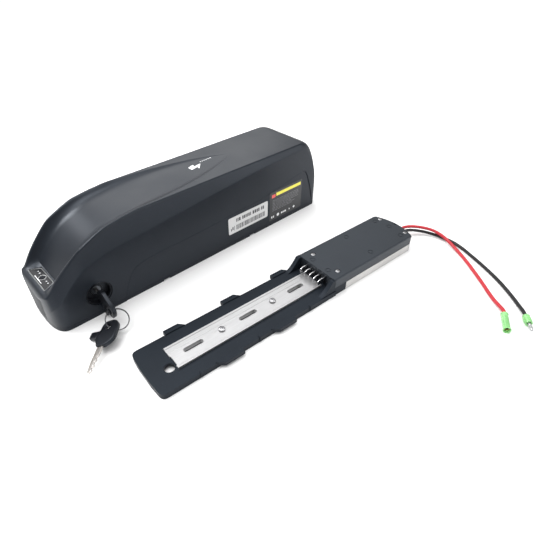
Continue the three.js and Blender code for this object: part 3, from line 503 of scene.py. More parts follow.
def lead(name, route, look, node):
    """A round cord along its route, hung on the cradle in place of its CAD node."""
    points = [CRADLE @ Vector(p) for p in spline_through(route, 6)]
    curve = bpy.data.curves.new(name, "CURVE")
    curve.dimensions = "3D"
    curve.bevel_depth = LEAD_R * MM
    curve.bevel_resolution = 5
    curve.use_fill_caps = True
    spline = curve.splines.new("POLY")
    spline.points.add(len(points) - 1)
    for point, co in zip(spline.points, points):
        point.co = (*co, 1)
    curve.materials.append(LOOKS[look])
    obj = added(name, curve)
    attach(obj, "cradle")
    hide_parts(node)


red_frame = aimed(RED_ROUTE[-1], RED_AIM)
red_sleeve = lathe("red_lead_sleeve", [
    (0, 0.3), (3.9, 0.3), (4.5, 0.7), (4.6, 1.4), (4.4, 2.4), (4.0, 3.6), (4.0, 23.6), (4.3, 25),
    (4.6, 26.4), (4.5, 27.3), (4.1, 27.5), (3.5, 27.3), (3.2, 26.6), (3.2, 6), (0, 6),
], red_frame)
place(red_sleeve, CRADLE, "cradle", "green", ["red_sleeve"])
red_socket = lathe("red_lead_barrel", [
    (0, 6.3), (2.3, 6.3), (2.8, 6.9), (2.8, 13), (2.6, 13.4), (2.8, 13.8), (2.8, 24.6), (2.6, 25),
    (2.2, 25), (2, 24.7), (2, 12), (0, 12),
], red_frame)
place(red_socket, CRADLE, "cradle", "copper", ["red_socket"])
black_frame = aimed(BLACK_ROUTE[-1], BLACK_AIM)
black_sleeve = lathe("black_lead_sleeve", [
    (0, 0.3), (3.5, 0.3), (4, 0.7), (4.3, 1.6), (4.5, 2.6), (4.5, 11.2), (4.2, 12.4), (3.8, 13),
    (2.5, 13), (2.3, 12.8), (2.3, 4), (0, 4),
], black_frame)
place(black_sleeve, CRADLE, "cradle", "green", ["black_sleeve"])
black_pin = lathe("black_lead_pin", [
    (0, 4.3), (1.8, 4.3), (2, 4.6), (2, 15.8), (1.8, 16.4), (1.5, 16.8), (1.5, 17.8), (1.8, 18.3),
    (2, 19), (2, 22), (1.7, 23.2), (1.1, 24.1), (0.5, 24.5), (0, 24.5),
], black_frame)
place(black_pin, CRADLE, "cradle", "screw", ["black_pin"])
lead("red_lead_cord", RED_ROUTE, "red", "red_lead")
lead("black_lead_cord", BLACK_ROUTE, "wire", "black_lead")


# ---- The case's form ----

NOSE_X, REAR_X, TOP_Z = -12.0, 428.0, 114.97
BASE_HALF, LEAN = 45.0, 44.0  # the sides lean out by about 1 mm in every LEAN mm of height
CREASE_SPREAD, SPREAD_AT, SPREAD_SHARE = 2.0, 88, 0.985
NOSE_ROUND, REAR_ROUND = 20.0, 16.0
NOSE_POWER, REAR_POWER = 2.9, 3
WALL, SEAM_Z, GAP = 2.5, 5.0, 0.3
LIP_X, DISH_X, DISH_END = -4, 11, 286.0
FRONT_PART, TAIL_X, TAIL_LONG = 300, 382, 20
DISPLAY_Z = 51.6


def knots(*pairs):
    return np.array(pairs, float).T


CREST_Z = knots(
    (-12, 41), (-10.5, 46), (-8, 49.5), (-3, 51.6), (2, 59), (8, 66), (17, 75), (29, 86), (40, 95),
    (60, 104.5), (72, 109.3), (94, 112.8), (116, TOP_Z), (388, TOP_Z), (396, 112.6), (404, 107),
    (411, 97.5), (417, 83), (422, 62), (425, 44), (427, 27),
)
DISH_Z = knots(
    (-3, 51.6), (11, 51.6), (17, 58.5), (29, 72), (40, 82), (54, 92), (70, 99.5), (85, 104),
    (100, 106.6), (134, 109.8), (170, 111.6), (220, 113.3), (DISH_END, TOP_Z),
)
CREST_HALF = knots(
    (-4, 35), (8, 37.5), (17, 39.5), (29, 41.5), (40, 42.4), (116, 41.6), (240, 42), (330, 43.2),
    (384, 43.4), (394, 42), (401, 39.5), (407, 35.5), (412, 30.5), (417, 24.5), (422, 17),
    (427, 10),
)
DISH_HALF = knots(
    (-4, 32.5), (8, 35), (17, 37), (29, 39.5), (40, 41), (116, 40.5), (150, 38.5), (170, 36.5),
    (192, 33), (213, 28.5), (233, 23), (250, 17), (264, 11.5), (277, 5), (DISH_END, 0.8),
)
CREASE_Z = knots(
    (-12, 18), (-6, 32), (8, 46), (17, 56), (29, 65), (40, 72), (60, 78), (78, 81), (177, 91),
    (304, 103), (385, 106), (394, 104), (402, 98.5), (409, 88), (415, 71), (420, 52), (424, 37),
    (427, 24.5),
)
UNDERSIDE_Z = knots((418, 0), (421, 4), (424, 12), (427, 20))


def eased(table, x, reach):
    """The value of a table at x, with its corners smoothed over a short reach each way."""
    return float(np.mean(np.interp(x + np.linspace(-reach, reach, 9), *table)))


def plan_half(x, inset):
    """Half the width of the case at its base, with its nose and rear rounded."""
    nose, rear = NOSE_X + NOSE_ROUND, REAR_X - REAR_ROUND
    half = BASE_HALF - inset
    if x < nose:
        return half * (1 - ((nose - x) / (NOSE_ROUND - inset)) ** NOSE_POWER) ** (1 / NOSE_POWER)
    if x > rear:
        return half * (1 - ((x - rear) / (REAR_ROUND - inset)) ** REAR_POWER) ** (1 / REAR_POWER)
    return half


def half_section(x, inset=0.0):
    """Half a cross-section of the case, from its base over the crease and crest to the middle."""
    if x < FRONT_PART:
        reach = float(np.clip((x - NOSE_X) * 0.35, 0.3, 4))
    else:
        reach = float(np.clip((REAR_X - x) * 0.3, 0.3, 3))
    dish_reach = float(np.clip((x - DISH_X) * 0.35, 0.2, 6))
    if inset:
        near = (x - inset, x, x + inset)
        top, dish_z = (min(np.interp(near, *table)) - inset for table in (CREST_Z, DISH_Z))
    else:
        top, dish_z = eased(CREST_Z, x, reach), eased(DISH_Z, x, dish_reach)
    base = plan_half(x, inset)
    crest = min(eased(CREST_HALF, x, 4) - inset, base - 1)
    dish = max(min(eased(DISH_HALF, x, 4) + inset, crest - 1.5), 0.5)
    depth = max(top - dish_z, 0) if LIP_X < x < DISH_END else 0
    crease = min(eased(CREASE_Z, x, reach), top - 3)
    tail = float(np.clip((x - TAIL_X) / TAIL_LONG, 0, 1))
    spread = CREASE_SPREAD * crease / SPREAD_AT * SPREAD_SHARE
    start = -10 if inset else float(np.interp(x, *UNDERSIDE_Z))
    points = [
        (base, start), (base + spread, crease), (crest + min(1.7, base - crest), top), (dish, top),
        (dish * 0.9, top - depth * 0.55), (dish * 0.75, top - depth * 0.93), (0, top - depth),
    ]
    return rounded(points, [0, 1.6 + 10 * tail, 1.8 + 12 * tail, 1.5, 3, 8, 0], 4, closed=False)


def case_form(name, inset=0.0, fine=True):
    """The closed form of the whole case, or of its inside when inset."""
    first, last = NOSE_X + inset + 0.03, REAR_X - inset - 0.6
    nose = first + (12 - first) * np.linspace(0, 1, 16 if fine else 8) ** 2.3
    rear = last - (last - 378) * np.linspace(0, 1, 36 if fine else 14)[::-1] ** 1.5
    middle = np.concatenate([
        np.arange(13.5, 60, 1.6 if fine else 8), np.arange(60, 130, 3.5 if fine else 12),
        np.arange(130, 292, 4 if fine else 24), np.arange(292, 375, 12),
    ])
    loops = []
    for x in [*nose, *middle, *rear]:
        half = half_section(x, inset)
        loops.append([(x, y, z) for y, z in half] + [(x, -y, z) for y, z in half[-2::-1]])
    return loft(name, loops)


def slice_at(obj, z, keep_above):
    """Cuts a closed body with a level plane and closes it again."""
    form = bmesh.new()
    form.from_mesh(obj.data)
    bmesh.ops.bisect_plane(
        form, geom=form.verts[:] + form.edges[:] + form.faces[:], plane_co=(0, 0, z),
        plane_no=(0, 0, 1), clear_inner=keep_above, clear_outer=not keep_above,
    )
    rim = [e for e in form.edges if e.is_boundary]
    bmesh.ops.contextual_create(form, geom=rim)
    bmesh.ops.recalc_face_normals(form, faces=form.faces)
    form.to_mesh(obj.data)
    form.free()
    return obj


STYLE_LINE = [
    (74.6, -3), (75.6, 8), (81.5, 25), (92, 40.5), (98, 44.2), (106, 46.4), (129, 49), (170, 49.4),
    (210, 50.6), (254, 53.6), (301, 55.6), (326, 59.6), (352, 64), (376, 68.4), (386, 69.8),
    (391, 69), (395.5, 66), (407, 39), (415, 10), (417, 0), (417.3, -3),
]
STEP_DEEP, GROOVE_DEEP = 0.6, 1.15
RECESS_EDGE = [(4.2, 3.0), (0.0, 0.0), (-0.5, -GROOVE_DEEP), (-2.1, -STEP_DEEP)]


def side_recess(side):
    """A prism that cuts a shallow panel into one side, with a groove along the panel's edge."""
    line = np.array(spline_through([(x, 0, z) for x, z in STYLE_LINE], 5))[:, [0, 2]]
    along = np.gradient(line, axis=0)
    outward = np.stack([-along[:, 1], along[:, 0]], 1) / np.linalg.norm(along, axis=1)[:, None]
    loops = []
    for grow, proud in RECESS_EDGE:
        ring = line + outward * grow
        loops.append([(x, side * (BASE_HALF + z / LEAN + proud), z) for x, z in ring])
    return loft("recess", loops)


outer = case_form("outer")
inner = case_form("inner", WALL, fine=False)


# ---- Nose display ----

DISPLAY = {"front": -3.5, "rear": 10.5, "front_half": 25.5, "rear_half": 18.5}
BUTTON_X, BUTTON_R = 4.0, 3.6
WEDGE = {"low": 7, "low_half": 18, "high": 41, "high_half": 24}
PANEL_THICK, PANEL_BED = 1.2, 1.6


def display_outline(grow, corner=2.2):
    front, rear = DISPLAY["front"] - grow, DISPLAY["rear"] + grow
    front_half, rear_half = DISPLAY["front_half"] + grow, DISPLAY["rear_half"] + grow
    points = [(front, -front_half), (rear, -rear_half), (rear, rear_half), (front, front_half)]
    return rounded(points, corner, 4)


def nose_wedge(grow):
    """A wedge through the nose that is wider at its top."""
    low, high = WEDGE["low"] - grow, WEDGE["high"] + grow
    low_half, high_half = WEDGE["low_half"] + grow, WEDGE["high_half"] + grow
    outline = [(-low_half, low), (low_half, low), (high_half, high), (-high_half, high)]
    ring = rounded(outline, 2.5, 4)
    return loft("wedge", [[(x, y, z) for y, z in ring] for x in (NOSE_X - 4, NOSE_X + 10)])


# ---- Case shells ----

LOCK = Vector((46, 0, 31))
RECESS_R, RECESS_FLOOR, PLUG_R, PLUG_END = 16.0, -37.0, 6.0, -2.0
CHARGE = Vector((60, 0, 22))
CHARGE_HOLE_R, BOLT_HOLE = 8.2, {"x": 46, "y": -8.5, "r": 4.9}
CASE_SCREWS = [(62, 42.1), (62, -42.1), (352, 41.7), (352, -41.7)]
BAY = {"x0": 258.0, "half": 36.5, "deep": 27.2}
CHANNEL = {"x0": 19.5, "x1": 262.0, "half": 37.5, "deep": 9.2, "corner": 9}
NOTCH = {"x": (134, 284), "half": 5, "high": 2.2}
SHEET = 2.5

upper = slice_at(copy(outer), SEAM_Z + GAP / 2, True)
upper.name = "upper_shell_piece"
cut(upper, inner)
panel_bed = cut(nose_wedge(GAP), case_form("skin", PANEL_BED, fine=False))
bay_half, bay_high = BAY["half"] + SHEET + GAP, BAY["deep"] + SHEET + GAP
cut(
    upper, panel_bed, side_recess(-1), side_recess(1),
    plate("pocket", [display_outline(GAP)], 40, 60),
    rod(RECESS_R, -60, -30, at(LOCK.x, 0, LOCK.z, "y"), 64),
    rod(CHARGE_HOLE_R, 30, 60, at(CHARGE.x, 0, CHARGE.z, "y")),
    block(BAY["x0"] + 60, REAR_X + 10, -bay_half, bay_half, -5, bay_high),
)
place(upper, PACK, "pack", "shell", ["upper_shell"], 24)


def channel_outline(grow):
    """The outline of the channel for the cradle, with a pointed round front."""
    x0, x1, half = CHANNEL["x0"] - grow, CHANNEL["x1"], CHANNEL["half"] + grow
    corner = CHANNEL["corner"]
    shoulder = x0 + corner * 0.3
    points = [(x1, -half), (x1, half), (shoulder, half), (x0 - 1, 0), (shoulder, -half)]
    return rounded(points, [0, 0, corner, 40, corner], 6)


rim = slice_at(copy(outer), SEAM_Z - GAP / 2, False)
rim.name = "lower_shell_piece"
front_roof = plate("roof", [channel_outline(SHEET)], 0, CHANNEL["deep"] + SHEET)
bay_half = BAY["half"] + SHEET
bay_box = block(BAY["x0"] - SHEET, REAR_X, -bay_half, bay_half, 0.02, BAY["deep"] + SHEET)
join(rim, front_roof, common(bay_box, copy(outer)))
notches = [
    block(x - NOTCH["half"], x + NOTCH["half"], min(a, b), max(a, b), -1, NOTCH["high"])
    for x in NOTCH["x"]
    for a, b in ((-BASE_HALF - 5, -CHANNEL["half"] + 1), (CHANNEL["half"] - 1, BASE_HALF + 5))
]
cut(
    rim, plate("channel", [channel_outline(0)], -1, CHANNEL["deep"]),
    block(BAY["x0"], REAR_X + 20, -BAY["half"], BAY["half"], -1, BAY["deep"]),
    block(BAY["x0"] - 8, BAY["x0"] + 4, -20, 20, 12.4, 23),
    rod(BOLT_HOLE["r"], 0, 20, at(BOLT_HOLE["x"], BOLT_HOLE["y"], 0)),
    side_recess(-1), side_recess(1), *notches,
    *[rod(1.6, -1, 6, at(x, y, 0), 24) for x, y in CASE_SCREWS],
    *[rod(2.4, -1, 2.6, at(x, y, 0), 24) for x, y in CASE_SCREWS],
)
place(rim, PACK, "pack", "shell", ["lower_shell"], 24)

panel = common(nose_wedge(0), copy(outer))
cut(panel, case_form("skin", PANEL_THICK, fine=False))
panel.name = "nose_face"
place(panel, PACK, "pack", "nose", ["nose_panel"])

back_z = DISPLAY_Z - 2.4
frame_lines = [display_outline(0), display_outline(-1.1, 1.4)]
bezel = plate("bezel_frame", frame_lines, back_z, DISPLAY_Z + 0.4, 0.3)
place(bezel, PACK, "pack", "trim", ["display_bezel"])
window_lines = [display_outline(-1.3, 1.2), circle(BUTTON_X, 0, BUTTON_R + GAP, 40)]
lens = plate("lens_window", window_lines, back_z + 1.1, DISPLAY_Z, 0.2)
place(lens, PACK, "pack", "lens", ["display_lens"])
button = lathe("power_button", [
    (radius, DISPLAY_Z + rise) for radius, rise in (
        (0, -1.6), (BUTTON_R, -1.6), (BUTTON_R, 0.3), (3.4, 0.55), (3.0, 0.6), (2.6, 0.5),
        (1.6, 0.2), (0, 0.1),
    )
], at(BUTTON_X, 0, 0))
place(button, PACK, "button", "nose", ["display_button"])
print_low, print_high = DISPLAY_Z + 0.02, DISPLAY_Z + 0.02 + 0.06
ring_line = [(r, z) for r, z in (
    (4.1, print_low), (4.4, print_low), (4.4, print_high), (4.1, print_high),
)]
marks = [block(-1.2, -0.4, -9.5, 9.5, print_low, print_high)]
marks += [rod(0.7, print_low, print_high, at(5, y, 0), 20) for y in (-14.5, -10, 10, 14.5)]
marks += [lathe("ring", ring_line, at(BUTTON_X, 0, 0))]
place(merged("display_marks", *marks), PACK, "pack", "mark")


# ---- Lock and keys ----

HOUSING_BACK, HOUSING_FRONT = -24, -44.6
housing = lathe("lock_surround", [
    (PLUG_R + GAP, HOUSING_BACK), (RECESS_R - GAP, HOUSING_BACK), (RECESS_R - GAP, -44.2),
    (RECESS_R - 0.8, HOUSING_FRONT), (RECESS_R - 1.6, -44.5), (RECESS_R - 2.2, -43.8),
    (RECESS_R - 2.4, RECESS_FLOOR - 0.5), (RECESS_R - 3, RECESS_FLOOR),
    (PLUG_R + 1.6, RECESS_FLOOR), (PLUG_R + 1.4, RECESS_FLOOR - 0.7),
    (PLUG_R + GAP, RECESS_FLOOR - 0.7),
], at(LOCK.x, 0, LOCK.z, "y"), 64)
place(housing, PACK, "pack", "black", ["lock_housing"])

KEY_ROOT, KEY_BLADE, KEY_BOW, KEY_THICK = -44.0, 34.0, 36.0, 5.0
KEY_HOLE, KEY_HOLE_R, RING_R = 27.0, 3.8, 13.0
KEY_DROOP, RING_DIP, SPARE_AT = math.radians(24), math.radians(30), math.radians(73)
KEYWAY_HALF, KEYWAY_DEEP = 1.3, 3.9
PACK_X = Vector((1, 0, 0))
KEY_OUT = Vector((0, -1, 0))


def downwards(angle):
    """A direction between straight out from the case and straight down."""
    return Vector((0, -math.cos(angle), -math.sin(angle)))


def key_frame(along, normal, hole):
    """A key's frame, with X along the key, Z square to its face and its ring hole at a point."""
    across = normal.cross(along)
    start = hole - along * KEY_HOLE
    return Matrix((
        (along.x, across.x, normal.x, start.x), (along.y, across.y, normal.y, start.y),
        (along.z, across.z, normal.z, start.z), (0, 0, 0, 1),
    ))


key_root = Vector((LOCK.x, KEY_ROOT, LOCK.z))
key_place = key_frame(KEY_OUT, PACK_X, key_root + KEY_OUT * KEY_HOLE)
key_hole = key_root + downwards(KEY_DROOP) * KEY_HOLE
keyway = block(-KEY_BLADE - 6, 6, -KEYWAY_DEEP, KEYWAY_DEEP, -KEYWAY_HALF, KEYWAY_HALF)
keyway.data.transform(key_place)
plug = lathe("lock_cylinder", [
    (0, RECESS_FLOOR - 0.5), (PLUG_R - 0.5, RECESS_FLOOR - 0.5), (PLUG_R, RECESS_FLOOR),
    (PLUG_R, PLUG_END), (0, PLUG_END),
], at(LOCK.x, 0, LOCK.z, "y"), 56)
cut(plug, keyway)
place(plug, PACK, "lock_plug", "dark_steel", ["lock_plug"])

BLADE_LINE = [
    (1, -3.6), (1, 3.6), (-20, 3.6), (-26, 2.7), (-31, 2.6), (-33.4, 0.9), (-33.4, -1.2),
    (-31.2, -2.5), (-29.6, -2.6), (-28.2, -1.5), (-26.6, -1.5), (-25, -2.9), (-23.4, -2.9),
    (-21.8, -1.6), (-20, -1.6), (-18.4, -3.1), (-16.8, -3.1), (-15, -2), (-13.4, -2), (-11, -3.6),
]
BOW_LINE = [
    (0, -5.5), (4, -12), (10, -15.5), (29, -14), (KEY_BOW, -8), (KEY_BOW, 4), (32, 8.5), (22.5, 9),
    (22.5, 21), (13.5, 21), (13.5, 11.5), (9, 10.5), (5, 7.5), (0, 5),
]
BOW_CORNERS = [1.5, 3, 4, 6, 4, 4, 4, 1, 1.5, 1.5, 1, 3, 3, 1.5]
BOW_FACE = [
    (3, -5), (6, -10), (11, -13), (28, -11.8), (33.6, -7), (33.6, 3), (31, 6.2), (20.5, 6.8),
    (15, 8.8), (10.5, 8.4), (6.5, 5.8), (3, 3),
]


def key(name, matrix, droop, body, nodes):
    """A flat key: a metal blade with cut teeth, and a plastic bow that may droop."""
    blade = plate(name + "_shaft", [rounded(BLADE_LINE, 0.7, 2)], -1, 1, 0.18, 1)
    grooves = [block(-27, 3, 0.9, 2.0, z - 0.4, z + 0.4) for z in (-1, 1)]
    cut(blade, *grooves)
    place(blade, PACK @ matrix, body, "nickel", [nodes[0]])
    bow_lines = [rounded(BOW_LINE, BOW_CORNERS, 4), circle(KEY_HOLE, 0, KEY_HOLE_R, 28)]
    bow = plate(name + "_grip", bow_lines, -KEY_THICK / 2, KEY_THICK / 2, 1.1, 3)
    face_lines = [rounded(BOW_FACE, 2.5, 4), circle(KEY_HOLE, 0, KEY_HOLE_R + 1.5, 28)]
    sides = (-KEY_THICK / 2, KEY_THICK / 2)
    faces = [plate("face", face_lines, z - 0.35, z + 0.35) for z in sides]
    ribs = [
        block(14.6 + 1.7 * i, 15.4 + 1.7 * i, 12.5, 19.4, z - 0.3, z + 0.3)
        for z in sides for i in range(4)
    ]
    cut(bow, *faces, *ribs)
    bow.data.transform(Matrix.Rotation(droop, 4, "Z"))
    cut(bow, block(-4, 1 + GAP, -KEYWAY_DEEP, KEYWAY_DEEP, -KEYWAY_HALF, KEYWAY_HALF))
    place(bow, PACK @ matrix, body, "black", [nodes[1]])


key("key", key_place, KEY_DROOP, "key", ["key_blade", "key_bow"])

ring_down = downwards(RING_DIP)
ring_normal = ring_down.cross(PACK_X)
ring_centre = key_hole + ring_down * RING_R
spare_from_centre = ring_down * math.cos(SPARE_AT) - PACK_X * math.sin(SPARE_AT)
spare_hole = ring_centre + spare_from_centre * RING_R
spare_along = Vector((0.74, 0.66, 0.08)).normalized()
spare_face = Vector((-0.187, 0.53, 1.306))
spare_normal = (spare_face - spare_along * spare_face.dot(spare_along)).normalized()
spare_place = key_frame(spare_along, spare_normal, spare_hole)
key("spare", spare_place, 0, "spare_key", ["spare_key_blade", "spare_key_bow"])


def split_ring():
    """Two turns of flat wire that lie against each other."""
    turns, sides, steps, wire = 1.92, 8, 110, 0.5
    angles = np.linspace(0, 2 * math.pi, sides, endpoint=False)
    loops = []
    for i in range(steps + 1):
        t = 2 * math.pi * turns * i / steps
        rise = wire * 2.04 * (t / (2 * math.pi) - turns / 2)
        out = ring_down * math.cos(t) + ring_normal.cross(ring_down) * math.sin(t)
        loop = []
        for a in angles:
            reach, height = RING_R + wire * 1.2 * math.cos(a), rise + wire * math.sin(a)
            loop.append(ring_centre + out * reach + ring_normal * height)
        loops.append(loop)
    return loft("split_ring", loops)


place(split_ring(), PACK, "key_ring", "ring", ["key_ring"], 50)


# ---- Charging socket and cap ----

socket = lathe("charge_port", [
    (0, 30), (7.9, 30), (7.9, 44.8), (7.5, 45.2), (4.2, 45.2), (3.6, 44.6), (3.6, 34), (1.1, 34),
    (1.1, 41.6), (0.8, 42), (0, 42),
], at(CHARGE.x, 0, CHARGE.z, "y"))
place(socket, PACK, "pack", "black", ["charge_socket"])
cap = lathe("port_cap", [
    (0, 46.6), (1.7, 46.6), (1.7, 44), (2.8, 44), (3, 44.3), (3, 47), (8.6, 47), (9, 47.4),
    (9, 48.5), (8.6, 48.9), (8, 49), (6.4, 48.8), (0, 48.7),
], at(CHARGE.x, 0, CHARGE.z, "y"), 48)
strap = plate("strap", [rounded([(56, 24), (64, 24), (64, 34), (56, 34)], 1.2, 3)], -0.95, 0.95, 0.3)
strap.data.transform(Matrix.Translation((0, 48, 0)) @ Matrix.Rotation(math.pi / 2, 4, "X"))
join(cap, strap)
place(cap, PACK, "charge_cap", "rubber", ["charge_cap"])


# ---- Labels and print ----

ON_PANEL, ON_FILM, ON_PAPER = 0.02, 0.18, 0.24
LABEL_THICK, FILM_THICK, INK_THICK = 0.22, 0.16, 0.04
LABEL, FILM = (240, 315, 20, 47), (319, 388, 8, 57)
BARS_FROM, BARS_TO, DIGITS_TO = 254.0, 309, 308
LINES_FROM, LINES_TO, LAST_LINES_TO, LINES_END = 325.0, 379, 366, 381


def side_mark(name, shapes, proud, thick):
    """Thin flat shapes given in X and Z on the near side's shallow panel."""
    shear = Matrix((
        (1, 0, 0, 0), (0, -1 / LEAN, -1, -(BASE_HALF - STEP_DEEP)), (0, 1, 0, 0), (0, 0, 0, 1),
    ))
    made = [plate("mark", [shape], proud, proud + thick) for shape in shapes]
    for piece in made:
        piece.data.transform(shear)
    return merged(name, *made)


def box_line(x0, x1, z0, z1):
    return [(x0, z0), (x1, z0), (x1, z1), (x0, z1)]


label_line = rounded(box_line(*LABEL), 2.5, 4)
label = side_mark("rating_plate", [label_line], ON_PANEL, LABEL_THICK)
place(label, PACK, "pack", "paper", ["rating_label"])
film_line = rounded(box_line(*FILM), 2, 4)
film = side_mark("info_film", [film_line], ON_PANEL, FILM_THICK)
place(film, PACK, "pack", "film", ["info_label"])

pattern = np.random.default_rng(7)
bars = []
x = BARS_FROM
while x < BARS_TO:
    wide = float(pattern.choice([0.5, 0.8, 1.3]))
    bars.append(box_line(x, x + wide, 24, 32))
    x += wide + float(pattern.choice([0.5, 0.9]))
x = BARS_FROM
while x < DIGITS_TO:
    wide = float(pattern.choice([1.6, 2.4, 3.0]))
    bars.append(box_line(x, x + wide, 37, 42.5))
    x += wide + (3.2 if pattern.random() < 0.2 else 0.9)
bars += [
    box_line(244, 245.5, 25, 29), box_line(246.5, 248.5, 26, 31), box_line(250, 250.8, 24, 32),
]
lines = []
for row in range(8):
    x, z = LINES_FROM, 42.0 - row * 2.5
    while x < (LINES_TO if row < 5 else LAST_LINES_TO):
        wide = float(pattern.uniform(3, 8))
        lines.append(box_line(x, min(x + wide, LINES_END), z - 0.5, z + 0.5))
        x += wide + 1
signs = [
    box_line(323, 325, 12, 15.5), box_line(326.5, 328.5, 12, 15.5), circle(337, 14, 2.6, 20),
    box_line(344, 347, 12.4, 15.4), box_line(348, 350, 12.4, 15.4), box_line(351, 354.5, 12.4, 15.4),
    circle(362, 14, 1.9, 3), circle(372, 14, 2.4, 4),
]
PRINTS = [
    ("rating_print", bars, ON_PAPER, "ink", "film"),
    ("info_bar", [box_line(332.5, 385, 48.2, 53.4)], ON_FILM, "yellow", "paper"),
    ("info_square", [box_line(323.5, 331, 47.2, 52.4)], ON_FILM, "red_ink", "red"),
    ("info_lines", lines, ON_FILM, "grey_ink", "case_grey"),
    ("info_signs", signs, ON_FILM, "mark", "paper"),
]
for name, shapes, proud, look, slot in PRINTS:
    place(side_mark(name, shapes, proud, INK_THICK), PACK, "pack", look)


def top_height(x, y):
    half = half_section(x)[::-1]
    return float(np.interp(abs(y), [p[0] for p in half], [p[1] for p in half]))


def top_mark(shapes, thick=0.09):
    """Thin flat shapes given in X and Y that follow the dished top."""
    made = []
    for shape in shapes:
        low = [(x, y, top_height(x, y)) for x, y in shape]
        made.append(loft("mark", [low, [(x, y, z + thick) for x, y, z in low]]))
    return merged("top_print", *made)


bolt_sign = [(219, 6), (228, 8.5), (227, 3.5), (238, 5), (228.5, -6), (229.5, -0.5), (219.5, -2)]
dashes = [box_line(240 + 3.3 * i, 242.2 + 3.3 * i, 8.4, 9.4) for i in range(6)]
place(top_mark([bolt_sign, *dashes]), PACK, "pack", "mark")


# ---- Screws ----

def screw(name, matrix, body, node, look, head_r, head_h, shank_r, low):
    """A domed screw whose seat is at Z 0, with a cross recess."""
    made = lathe(name, [
        (0, low), (shank_r * 0.6, low), (shank_r, low + 0.8), (shank_r, 0), (head_r, 0),
        (head_r, head_h * 0.35), (head_r * 0.86, head_h * 0.75), (head_r * 0.55, head_h * 0.97),
        (0, head_h),
    ], sides=32)
    deep, half, arm = head_h * 0.35, head_r * 0.2 / 2, head_r * 0.58
    cut(made, block(-arm, arm, -half, half, deep, 9), block(-half, half, -arm, arm, deep, 9))
    place(made, matrix, body, look, [node])


CASE_FIXING = {"head_r": 2.1, "head_h": 1.7, "shank_r": 1.2, "low": -11.6}
RAIL_FIXING = {"head_r": 4, "head_h": 2, "shank_r": 1.8, "low": -6}
COVER_FIXING = {"head_r": 3, "head_h": 1.2, "shank_r": 1.4, "low": -17.5}
RAIL_SCREWS = (37, 111)
COVER_SCREWS = [(199, 22.4), (199, -22.4), (335, 22.4), (335, -22.4)]
for i, (x, y) in enumerate(CASE_SCREWS, 1):
    upwards = PACK @ at(x, y, 2.2) @ Matrix.Rotation(math.pi, 4, "X")
    screw(f"case_fixing_{i}", upwards, "pack", f"case_screw_{i}", "steel", **CASE_FIXING)
for i, x in enumerate(RAIL_SCREWS, 1):
    seat = CRADLE @ at(x, 0, 10.5)
    screw(f"rail_fixing_{i}", seat, "cradle", f"rail_screw_{i}", "screw", **RAIL_FIXING)
for i, (x, y) in enumerate(COVER_SCREWS, 1):
    seat = CRADLE @ at(x, y, 24.9)
    screw(f"cover_fixing_{i}", seat, "cradle", f"cover_screw_{i}", "screw", **COVER_FIXING)


# ---- Controller cover ----

BOX = {"x0": 183.0, "x1": 338.0, "bulge": 7.0, "half": 34.0, "split": 12.4, "top": 26.0, "wall": 2.2}
WING, LIFT_NOTCH, ROUND = {"y": 31, "half": 3.3}, {"x": 339.0, "half": 2.5, "deep": 1.2}, 2.6
GROMMET = {"x0": 337.0, "x1": 350.0, "y": -6.0, "z": 13.0, "half": 7.5, "high": 5.6, "corner": 3.5}
RELIEF_STEPS = [
    (0.0, 0.4), (0.4, 0.0), (3.4, 0.0), (3.8, 0.5), (4.6, 0.6), (5.0, 0.1), (6.2, 0.2), (6.6, 0.8),
    (7.4, 0.9), (7.8, 0.45), (9.0, 0.6), (9.4, 1.2), (10.2, 1.3), (10.6, 0.9), (11.8, 1.1),
    (12.5, 1.3), (12.9, 1.7), (13.0, 2.3),
]
EJECTOR_AT = [(190.5, 14), (190.5, -14), (262, 22), (262, -22), (324.5, 23), (324.5, -23), (329.7, 1.6)]
EJECTOR_R, EJECTOR_WIDE, EJECTOR_DEEP = 2.9, 0.9, 0.5


def quadratic(a, b, c, steps):
    a, b, c = (np.array(p, float) for p in (a, b, c))
    return [tuple((1 - t) ** 2 * a + 2 * t * (1 - t) * b + t * t * c)
            for t in np.linspace(0, 1, steps + 1)]


def box_outline(inset, x0=BOX["x0"]):
    """The controller box from above: square in front, with a bulging rear."""
    half, x1, corner = BOX["half"] - inset, BOX["x1"] - inset, 5
    rear, tip = x1 + 1, x1 + BOX["bulge"] * 2 - 1
    return [
        (x0 + inset, -half),
        *quadratic((x1 - corner, -half), (x1, -half), (rear, -half + corner), 6),
        *quadratic((rear, -half + corner), (tip, 0), (rear, half - corner), 20)[1:],
        *quadratic((rear, half - corner), (x1, half), (x1 - corner, half), 6)[1:],
        (x0 + inset, half),
    ]


top = BOX["top"]
levels = [(0.0, BOX["split"] + GAP / 2), (0.0, top - ROUND)]
for a in np.linspace(0.3, math.pi / 2, 5):
    levels.append((ROUND * (1 - math.cos(a)), top - ROUND + ROUND * math.sin(a)))
cover = loft("controller_lid", [
    [(x, y, z) for x, y in box_outline(inset, BOX["x0"] - inset)] for inset, z in levels
])
hollow_line = box_outline(BOX["wall"] + 2, BOX["x0"] + 18)
hollow = plate("hollow", [hollow_line], BOX["split"] - 2, top - BOX["wall"])
posts = [rod(4, BOX["split"] + GAP / 2, top - 1, at(x, y, 0), 24) for x, y in COVER_SCREWS]
wing_pockets = [
    block(BOX["x0"] - 5, BOX["x0"] + 1 + GAP, y - WING["half"], y + WING["half"], 5, top - 1 + GAP)
    for y in (WING["y"], -WING["y"])
]
ejector_line = [
    (EJECTOR_R, top - EJECTOR_DEEP), (EJECTOR_R + EJECTOR_WIDE, top - EJECTOR_DEEP),
    (EJECTOR_R + EJECTOR_WIDE, top + 1), (EJECTOR_R, top + 1),
]
ejector_rings = [lathe("ring", ejector_line, at(x, y, 0), 28) for x, y in EJECTOR_AT]
